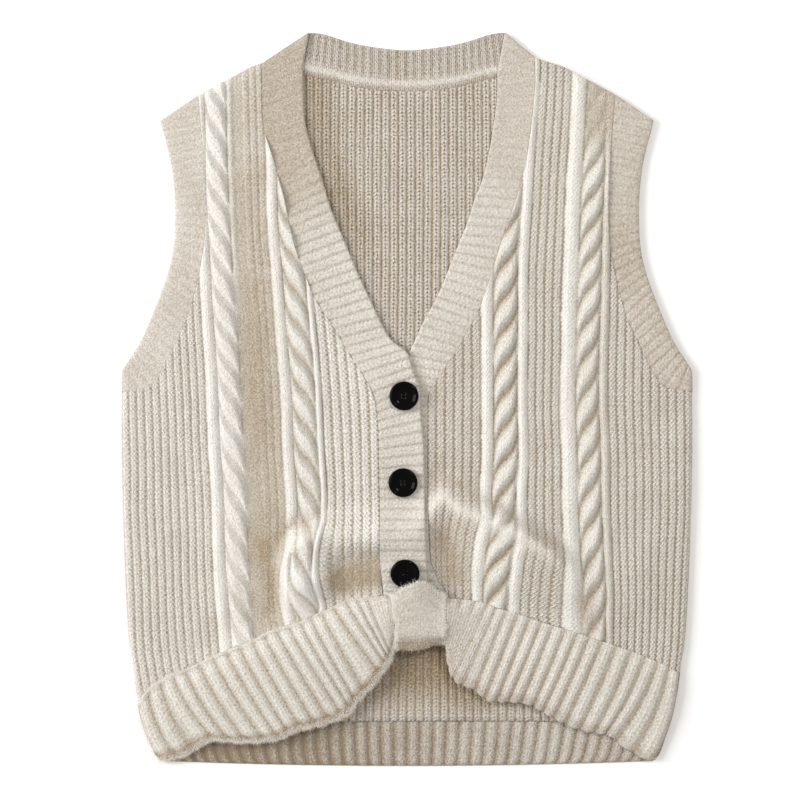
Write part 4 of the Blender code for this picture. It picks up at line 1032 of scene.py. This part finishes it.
def makeFront(side, label):
    look = frontLook
    ring, seams = frontRing(side)
    starts, stripes = stripeSpans(side)
    walePlaces = look["tuckedColumns"] + [0.0]
    for n, stripe in enumerate(stripes):
        walePlaces += list(np.linspace(starts[n], starts[n + 1], stripe[3] + 1))[1:]
    walePlaces = np.array(walePlaces + [walePlaces[-1] + 1.5])
    low, high = look["span"]
    bm = flatGrid(len(walePlaces) - 1, int((high - low) / look["rowStep"]))
    flat = np.array([vert.co[:] for vert in bm.verts])
    y = mix(low, high, flat[:, 1] + 0.5)
    x = waleLine(side, remapped(flat[:, 0], walePlaces), y)
    x = x + patternBend(side, x, y)
    for vert, placeX, placeY in zip(bm.verts, x, y):
        vert.co = (side * placeX, placeY, 0)
    cutToRing(bm, ring, 5.0)

    def waleAt(x, y):
        out = np.abs(x)
        return waleOf(side, out - patternBend(side, out, y), y)

    def shape(x, y):
        out, wale = np.abs(x), waleAt(x, y)
        relief, tone, grain = frontRelief(side, wale, y)
        fall = edgeFall(x, y)
        # along the fold's crest the knit is stretched smooth and lighter, partly a painted highlight; the
        # hollows paint shade, and highlights where negative
        crest = crestLine(x) + (13 * ease((40 - x) / 18) - 2 if side > 0 else 4)
        stretched = np.exp(-((y - crest) / 6.0) ** 2) * ease((125 - out) / 20) * ease((out - 8) / 14)
        stretched = stretched * look["stretched"][side]
        shade = np.clip(softLines(x, y, look["hollows"]), -0.5, 0.8)
        smooth = (1 - 0.8 * stretched) * (1 - 0.8 * np.maximum(shade, 0))
        relief, grain = relief * smooth, grain * smooth
        tone = mix(tone, 0.82, stretched) * (1 - shade)
        floor = floorOf(side, x, y)
        seamDistance = np.minimum.reduce([distanceToLine(x, y, line) for line in seams])
        soft = 0.93 + 0.07 * rounded(seamDistance, 2.0)
        uneven = 0.45 * waviness(x, y, 0.2) + softLines(x, y, look["creases"])
        uneven = uneven * ease(seamDistance / 14) * (1 - fall)
        wall = look["wall"] * steepness(x, y) + relief * (1 - 0.6 * fall)
        top = floor + wall * soft - 0.5 * fall + uneven
        closing = np.where(y < 305, 1 - rounded(outlineHalf(y) - out, 3.5), 0.0)  # down to the side seam
        return {
            "top": (x, y, mix(top, 1.5, closing)), "under": (x, y, mix(floor, 1.1, closing)),
            "stitches": (wale, y), "tone": tone, "grain": grain,
        }

    def stitchesOfFaces(mesh, flat, corners):  # a face lies in one stripe and has the stitches of that stripe
        counts = readAll(mesh.polygons, "loop_total", 1, int)
        faceOfLoop = np.repeat(np.arange(len(counts)), counts)
        x, y = flat[corners, 0], flat[corners, 1]
        wale = waleAt(x, y)
        means = np.bincount(faceOfLoop, wale, len(counts)) / counts
        number = stripeNumber(starts, means)[faceOfLoop]
        stitches = np.zeros((len(corners), 2))
        for n, (kind, _, count, _) in enumerate(stripes):
            here = number == n
            share = (wale[here] - starts[n]) / (starts[n + 1] - starts[n])
            stitches[here] = np.stack(frontStitches(side, kind, count, share, y[here], n), 1)
        return stitches

    piece = clothPiece(f"front{label}", bm, shape, wool, stitchesOfFaces)
    node = f"front_{label.lower()}_panel"
    declare(piece, [node])
    return piece


def bandFloor(side, x, y):
    rise = frontBandLook["lowerEndRise"] * ease((134 - y) / 16) if side > 0 else 0.0
    return floorOf(side, x, y) + rise


def turnedEnd(step, share):  # outer and inner face of the folded end; step counts the rows of its table
    look = turnedEndLook
    outerY, outerZ, innerY, innerZ, sink = [curve(step) for curve in columnsOf(look["rows"])]
    topEdge = SmoothCurve([p[0] for p in look["topEdge"]], [p[1] for p in look["topEdge"]])
    x = look["start"] - look["width"] * share + (look["shift"] + look["widen"] * (1 - share)) * ease(step / 3)
    x = x - look["lapOver"] * share ** 3 * ease((step - 1) / 2) * ease((6.5 - step) / 1.5)
    x = x - look["narrow"] * (1 - share) * ease((step - 4) / 4)
    tip = mix(look["root"], topEdge(-x), ease((step - 1.2) / 1.8))
    base = tip + ease((step - 4) / 5) * (look["level"] - tip)
    base = base + look["shorter"] * ease((step - 6) / 5) * (ease((x - 8) / 21) + 0.15 * ease((2 - x) / 11))
    lift = 0.5 * np.sin(np.pi * share) * ease((step - 3) / 2) - sink * ease((x - 2) / 27)
    lift = lift - 0.7 * ease((share - 0.86) / 0.14) * ease((step - 3) / 1.5)  # rounds down to the bent side
    return (x, base + outerY, outerZ + lift), (x, base + innerY, innerZ + lift)


def softBump(distance, width):
    return np.exp(-(distance / width) ** 2)


def makeFrontBand(side, label):
    look = frontBandLook
    band = alongBand(look[side])
    length = band[2][-1]
    ribs = round(length / look["ribPitch"])
    width, turnWidth = look["width"], turnedEndLook["width"]
    marks = bandMarks(width, 1.6, inner=18)
    bandRows, turnRows = ribs * 8, look["turnedRows"][side]
    last = len(turnedEndLook["rows"]) - 1

    def laidPart(share, along):
        x, y, edgeX, edgeY, seamX, seamY = bandPlaces(band, width, along, share)
        x = side * x
        local = np.hypot(edgeX - seamX, edgeY - seamY)
        rib = along * ribs
        rim = rounded(share * local, 1.6)
        seam = 0.93 + 0.07 * rounded((1 - share) * local, 2.0)
        floor = bandFloor(side, x, y)
        fade = (1 - 0.35 * ease((share - 0.45) / 0.5)) * (0.8 - 0.6 * ease((edgeY - 430) / 80))
        uneven = 0.3 * waviness(x, y, 5.0) * ease(share * 4) * ease((1 - share) * 4)
        wall = (look["wall"] + look["ribHeight"] * ribbed(rib) * fade) * steepness(x, y, 1.4)
        if side > 0:  # plain and thin where the other band lies on it, and rounded at its lower end
            hidden = ((y < look["lappedFrom"]) & (x < 16)) | (edgeY < 300)
            wall, uneven = np.where(hidden, look["hiddenWall"], wall), np.where(hidden, 0.0, uneven)
            rim = rim * rounded((1 - along) * length, 2.0)
        top = floor + wall * seam + uneven
        middle = floor + 1.2
        # darker between the ribs: painted shade
        tone = 0.53 + 0.2 * ribbed(rib, 1.0) * fade - look["shoulderShade"][side] * ease((edgeY - 410) / 80)
        return {
            "top": (x, y, mix(middle, top, rim)), "under": (x, y, mix(middle, floor, rim)),
            "stitches": (rib, share * local / 3.6), "tone": tone,
            "grain": 0.5 - 0.34 * ease((edgeY - 400) / 90), "fuzz": np.full_like(share, look["fuzz"]),
        }

    def addTurnedPart(made, share, row):
        step = (row - bandRows) / turnRows * (last + 1) - 1.0
        outer, inner = turnedEnd(np.maximum(step, 0.0), share)
        rim = np.minimum(rounded(share * width, 0.9), rounded((1 - share) * width, 1.2))
        rim = rim * rounded(last - step, 0.5)
        turned = row > bandRows
        join, blend = ease(step + 1.0), np.clip(step + 1.0, 0.0, 1.0)
        middle = [(a + b) / 2 for a, b in zip(outer, inner)]
        for label, face in (("top", outer), ("under", inner)):
            face = [mix(m, a, rim) for m, a in zip(middle, face)]
            made[label] = [np.where(turned, mix(a, b, blend), a) for a, b in zip(made[label], face)]
        # darker on the end that rolls down, painted shade, and lighter along the folded edges, a painted
        # highlight
        tone = mix(made["tone"], 0.56 - 0.5 * ease((step - 7.4) / 1.2), join)
        edge = softBump((1 - share) * turnWidth - 1.2, 1.6) + 0.7 * softBump(step - 3.3, 0.6)
        edge = edge + 0.5 * softBump(step - 7.1, 0.45)
        made["tone"] = np.where(turned, tone + 0.14 * edge * join, made["tone"])
        edge = edge + 0.8 * softBump(share * turnWidth - 0.6, 1.0)
        made["fuzz"] = np.where(turned, 0.04 + 0.6 * np.minimum(edge, 1.2) * ease(step - 2), made["fuzz"])
        made["grain"] = np.where(turned, mix(0.6, 0.3, join), made["grain"])
        rib, stitch = made["stitches"]
        made["stitches"] = (np.where(turned, ribs + (step + 1.0) * 1.1, rib), stitch)

    def shape(s, t):
        share, row = remapped(s, marks), (t + 0.5) * (bandRows + turnRows)
        made = laidPart(share, np.clip(row / bandRows, 0, 1))
        if turnRows:
            addTurnedPart(made, share, row)
        return made

    piece = clothPiece(f"frontBand{label}", flatGrid(len(marks) - 1, bandRows + turnRows), shape, bandWool)
    cut = ((length + look["turnedLength"][side]) * mm, look["cutWidth"])
    area = (length + look["turnedLength"][side]) * look["meanWidth"] * mm
    rests = ["front_band_right"] if side < 0 else ["back_panel"]
    declare(piece, [f"front_band_{label.lower()}"])
    return piece


def makeFrontHem(side, label):
    look, own = frontHemLook, frontHemLook["own"][side]
    rows = look[side]
    columns, numbers, reach = alongBand(rows, 16)
    total = reach[-1]
    ribs = round(total / look["ribPitch"])
    downMarks = [[0.0, 0.01, 0.03, 0.06], np.linspace(0.1, 0.86, 18), np.linspace(0.88, 1.0, 12)]
    downMarks = np.concatenate(downMarks)
    lean = SmoothCurve(range(len(rows)), own["lean"])

    def shape(s, t):
        along, share = s + 0.5, remapped(t, downMarks)
        n = np.interp(along * total, reach, numbers)
        low = n - lean(n)
        topX, topY, topZ, bow = [columns[k](n) for k in (0, 1, 4, 7)]
        lowX, lowY, lowZ = [columns[k](low) for k in (2, 3, 6)]
        crestZ = columns[5]((n + low) / 2)
        dx, dy = lowX - topX, lowY - topY
        length = np.hypot(dx, dy)
        dx, dy = dx / length, dy / length
        flip = np.sign(-dy)
        outX, outY = -dy * flip, dx * flip
        fromTop, toEnd = share * length, (1 - share) * length

        rib = (along + 0.11 * along * (1 - along)) * ribs
        calm = ease((n - own["plainTo"]) / own["plainFade"])  # ribs fade out towards the centre
        if side > 0:
            calm = np.maximum(calm, ease((0.22 - share) / 0.16))
        scallop = own["scallop"] * (ribbed(rib, 1.0) - 0.5) * ease((share - 0.8) / 0.2)
        reachDown = garment["seamGap"] + (length - garment["seamGap"]) * share + scallop
        swell = bow * np.sin(np.pi * share)
        x = topX + dx * reachDown + outX * swell
        y = topY + dy * reachDown + outY * swell

        climb = np.interp(share, [0.0, 0.13, 0.5, 0.88, 1.0], [0.0, 0.6, 1.05, 1.6, 2.0])
        rising = topZ + (crestZ - topZ) * ease(climb)
        falling = crestZ + (lowZ - crestZ) * ease(climb - 1)
        floor = np.where(climb <= 1, rising, falling)
        roll = 1 - rounded(toEnd, look["roll"])
        atSide = ease((1 - along) * 6)
        lip = ease((11.5 - toEnd) / 8) * own["lip"]
        form = mix(0.7, ribbed(rib, 1.2), calm * (1 - 0.7 * lip))
        relief = look["ribHeight"] * form * (0.4 + 0.6 * ease(share / 0.12))
        startRound = 0.9 + 0.1 * rounded(fromTop, 1.8)
        wall = (look["wall"] + relief) * startRound + own["welt"] * softBump(fromTop - 1.6, 1.5)
        ends = np.minimum(rounded(along * total, 1.0), rounded((1 - along) * total, 3.0))
        top = floor + wall - look["rollDrop"] * roll * (0.35 + 0.65 * atSide)
        closing = rounded(toEnd, 2.4) * ends
        middle = floor + 0.7
        uneven = 0.5 * waviness(side * x, y, 8.0) * ease(share * 5)
        top, under = mix(middle, top + uneven, closing), mix(middle, floor, closing)

        # darker between the ribs and on the rolled lip, painted shade, and lighter along the top ridge, a
        # painted highlight
        tone = mix(own["plainTone"], 0.36 + 0.5 * ribbed(rib, 1.4), calm)
        tone = tone + own["topLight"] * ease((0.10 - share) / 0.08) - own["lipShade"] * lip
        fuzz = 0.02 + 0.9 * softBump(fromTop - 0.6, 1.0) * own["topFuzz"] + 0.5 * softBump(along * total, 1.5)
        tufts = own["lipFuzz"] + own["centreFuzz"] * ease((3.2 - n) / 2)
        fuzz = fuzz + 0.8 * ease((7.0 - toEnd) / 6) * tufts
        return {
            "top": (side * x, y, top), "under": (side * x, y, under), "stitches": (2 * rib, fromTop / 3.6),
            "tone": tone, "grain": 0.5 * (1 - 0.6 * lip), "fuzz": fuzz,
        }

    piece = clothPiece(f"hemFront{label}", flatGrid(ribs * 12, len(downMarks) - 1), shape, hemWool)
    node = f"hem_front_{label.lower()}"
    declare(piece, [node])
    return piece


woolly = []
for side, label in sides:
    woolly += [makeFront(side, label), makeFrontBand(side, label), makeFrontHem(side, label)]
print("fronts, front bands and hems made")


# loose wool standing off the cloth, thickest on the turned edges; lengths in millimetres
fibreLook = {
    "doublings": 15, "radius": 0.095, "shortest": 1.2, "longest": 4.2, "stray": 0.6, "rootScatter": 0.35,
    "lowest": 0.3, "seed": 11,
}


def bladeStack(doublings):  # equal thin cones, each standing in its own unit of height until it is placed
    bm = bmesh.new()
    bmesh.ops.create_cone(bm, cap_ends=False, segments=3, radius1=1.0, radius2=0.0, depth=0.5)
    bmesh.ops.translate(bm, verts=bm.verts, vec=(0, 0, 0.25))
    for doubling in range(doublings):
        made = bmesh.ops.duplicate(bm, geom=bm.verts[:] + bm.edges[:] + bm.faces[:])
        copies = [part for part in made["geom"] if isinstance(part, bmesh.types.BMVert)]
        bmesh.ops.translate(bm, verts=copies, vec=(0, 0, 2 ** doubling))
    return meshFrom("looseFibres", bm)


def fibreRoots(pieces):  # the faces' centres and normals, and how much loose wool each face has
    roots, normals, weights = [], [], []
    for piece in pieces:
        data = piece.data
        fuzz = readAll(data.attributes["fuzz"].data, "value")
        firstCorners = readAll(data.polygons, "loop_start", 1, int)
        corners = readAll(data.loops, "vertex_index", 1, int)
        roots.append(readAll(data.polygons, "center", 3))
        normals.append(readAll(data.polygons, "normal", 3))
        weights.append(readAll(data.polygons, "area") * fuzz[corners[firstCorners]])
    return np.concatenate(roots), np.concatenate(normals), np.concatenate(weights)


def unit(vectors):
    return vectors / np.linalg.norm(vectors, axis=1, keepdims=True)


def makeFibres(pieces, look):
    random = np.random.default_rng(look["seed"])
    mesh = bladeStack(look["doublings"])
    count = 2 ** look["doublings"]
    roots, normals, weights = fibreRoots(pieces)
    picked = random.choice(len(roots), count, p=weights / weights.sum())
    along = unit(normals[picked] + look["stray"] * random.normal(size=(count, 3)))
    aside = unit(np.cross(along, (0.31, 0.87, 0.39)))
    across = np.cross(along, aside)
    lengths = random.uniform(look["shortest"], look["longest"], count)
    scatter = random.normal(scale=look["rootScatter"] * mm, size=(count, 3))
    root = roots[picked] + scatter * (1 - np.abs(normals[picked]))
    blades = readAll(mesh.vertices, "co", 3)
    number = np.clip(np.floor(blades[:, 2] + 1e-4).astype(int), 0, count - 1)
    up = (blades[:, 2] - number) * 2 * lengths[number]
    wide = look["radius"] * (aside[number] * blades[:, :1] + across[number] * blades[:, 1:2])
    places = root[number] + mm * (along[number] * up[:, None] + wide)
    places[:, 2] = np.maximum(places[:, 2], look["lowest"] * mm)
    mesh.vertices.foreach_set("co", places.ravel())
    mesh.update()
    declare(addObject("looseFibres", mesh, fibreWool), [])


makeFibres(woolly, fibreLook)
print("loose fibres made")


buttonLook = {
    "spots": {"button_top": (-2.4, 295.6), "button_middle": (-3.2, 226.8), "button_bottom": (-1.6, 155.8)},
    # half section: distance from the axis, height over the flat back
    "profile": [
        (0.0, 0.0), (8.4, 0.0), (9.9, 0.2), (10.9, 0.75), (11.45, 1.5), (11.6, 2.3), (11.4, 3.2),
        (11.0, 3.85), (10.4, 4.25), (9.8, 4.4), (9.2, 4.25), (8.6, 3.8), (8.0, 3.3), (7.2, 2.95), (6.0, 2.65),
        (4.6, 2.5), (0.0, 2.42),
    ],
    "segments": 56, "holes": 4, "holeRadius": 0.95, "holeSpread": 1.9,
    "threadRadius": 0.42, "threadStretch": 4.6, "threadHeight": 2.62, "threadSpread": 0.707,
    "seatRings": (0.0, 4.0, 8.4, 10.5), "sharpFrom": 38,
}


def bandSurface(x, y):
    x, y = np.array([x], float), np.array([y], float)
    wall = frontBandLook["wall"] + 0.8
    return float((bandFloor(-1, x, y) + wall * steepness(x, y, 1.4))[0])


def buttonPlace(x, y):  # tilted as the band lies there, just clear of its highest point under the button
    look = buttonLook
    reach = look["profile"][1][0]
    rise = (bandSurface(x, y + reach) - bandSurface(x, y - reach)) / (2 * reach)
    roll = (bandSurface(x + reach, y) - bandSurface(x - reach, y)) / (2 * reach)
    seat = 0.0
    for radius in look["seatRings"]:
        for n in range(16):
            angle = n * math.tau / 16
            dx, dy = radius * math.cos(angle), radius * math.sin(angle)
            seat = max(seat, bandSurface(x + dx, y + dy) - rise * dy - roll * dx)
    normal = Vector((-roll, -rise, 1.0)).normalized()
    turn = Vector((0, 0, 1)).rotation_difference(normal).to_matrix().to_4x4()
    place = Vector((x, y - garment["length"] / 2, seat + garment["seamGap"])) * mm
    return Matrix.Translation(place) @ turn


def turnedDisc(look):
    bm = bmesh.new()
    points = [bm.verts.new((radius * mm, 0, height * mm)) for radius, height in look["profile"]]
    edges = [bm.edges.new(pair) for pair in zip(points, points[1:])]
    bmesh.ops.spin(
        bm, geom=[*points, *edges], cent=(0, 0, 0), axis=(0, 0, 1), angle=math.tau, steps=look["segments"],
        use_merge=True,
    )
    bmesh.ops.remove_doubles(bm, verts=bm.verts, dist=1e-6)
    bmesh.ops.recalc_face_normals(bm, faces=bm.faces)
    return addObject("disc", meshFrom("disc", bm))


def holeDrills(look):
    bm = bmesh.new()
    radius = look["holeRadius"] * mm
    for n in range(look["holes"]):
        angle = math.tau * (n + 0.5) / look["holes"]
        made = bmesh.ops.create_cone(
            bm, cap_ends=True, segments=16, radius1=radius, radius2=radius, depth=20 * mm,
        )
        offset = Vector((math.cos(angle), math.sin(angle), 0)) * look["holeSpread"] * mm
        bmesh.ops.translate(bm, verts=made["verts"], vec=offset)
    return addObject("drills", meshFrom("drills", bm))


def drilledDisc(look):
    disc, drills = turnedDisc(look), holeDrills(look)
    cut = disc.modifiers.new("holes", "BOOLEAN")
    cut.operation, cut.solver, cut.object = "DIFFERENCE", "EXACT", drills
    drilled = bpy.data.meshes.new_from_object(disc.evaluated_get(bpy.context.evaluated_depsgraph_get()))
    bpy.data.objects.remove(disc)
    bpy.data.objects.remove(drills)
    return drilled


def makeButton(nodeName, spot, look):
    bm = bmesh.new()
    bm.from_mesh(drilledDisc(look))
    for offset in (-1, 1):  # two bars of thread from hole to hole
        made = bmesh.ops.create_uvsphere(bm, u_segments=12, v_segments=8, radius=look["threadRadius"] * mm)
        bmesh.ops.scale(bm, verts=made["verts"], vec=(look["threadStretch"], 1.0, 0.8))
        place = Vector((0, offset * look["holeSpread"] * look["threadSpread"], look["threadHeight"])) * mm
        bmesh.ops.translate(bm, verts=made["verts"], vec=place)
    bmesh.ops.transform(bm, verts=bm.verts, matrix=buttonPlace(*spot))
    mesh = meshFrom(nodeName, bm)
    mesh.shade_smooth()
    mesh.set_sharp_from_angle(angle=math.radians(look["sharpFrom"]))
    words = nodeName.split("_")
    piece = addObject(words[0] + words[1].capitalize(), mesh, buttonPlastic)
    declare(piece, [nodeName])


for nodeName, spot in buttonLook["spots"].items():
    makeButton(nodeName, spot, buttonLook)
print("buttons made")


studioLook = {
    "floor": (0.93, 0.93, 0.935), "floorGrain": (0.95, 0.95, 0.955), "floorSize": 6.0, "floorDrop": 0.2,
    "world": (1.0, 0.962, 0.9), "worldStrength": 0.55,
    "lights": {  # place, size, power, colour
        "keyLight": ((-2.35, 0.5, 1.5), 1.5, 82.0, (0.98, 0.985, 0.99)),
        "windowLight": ((0.62, 0.62, 1.5), 0.16, 8.5, (1.0, 1.0, 1.0)),
    },
    "viewWidth": 0.64, "centre": (-0.0056, -0.0006), "lens": 85.0,
}


def makeFloor(look):
    finish = Finish("pale floor")
    speckle = finish.colours(finish.noise(30.0), look["floor"], look["floorGrain"])
    finish.surface({"Base Color": speckle, "Roughness": 0.8})
    bm = bmesh.new()
    bmesh.ops.create_grid(bm, x_segments=2, y_segments=2, size=look["floorSize"])
    bmesh.ops.translate(bm, verts=bm.verts, vec=(0, 0, -look["floorDrop"] * mm))
    addObject("paleFloor", meshFrom("paleFloor", bm), finish.material)


def makeLights(look):
    world = bpy.data.worlds.new("studio")
    world.use_nodes = True
    background = world.node_tree.nodes["Background"]
    background.inputs["Color"].default_value = (*look["world"], 1.0)
    background.inputs["Strength"].default_value = look["worldStrength"]
    bpy.context.scene.world = world
    for name, (place, size, power, colour) in look["lights"].items():
        light = bpy.data.lights.new(name, "AREA")
        light.energy, light.size, light.color = power, size, colour
        lamp = addObject(name, light)
        lamp.location = place
        lamp.rotation_euler = (-Vector(place)).to_track_quat("-Z", "Y").to_euler()


def makeCamera(look):  # straight above, as far away as the width of the view asks for
    data = bpy.data.cameras.new("camera")
    data.lens = look["lens"]
    data.clip_end = 20.0
    camera = addObject("camera", data)
    camera.location = (*look["centre"], look["viewWidth"] * look["lens"] / data.sensor_width)
    bpy.context.scene.camera = camera
    bpy.context.scene.view_settings.view_transform = "Standard"


makeFloor(studioLook)
makeLights(studioLook)
makeCamera(studioLook)
print("studio made")
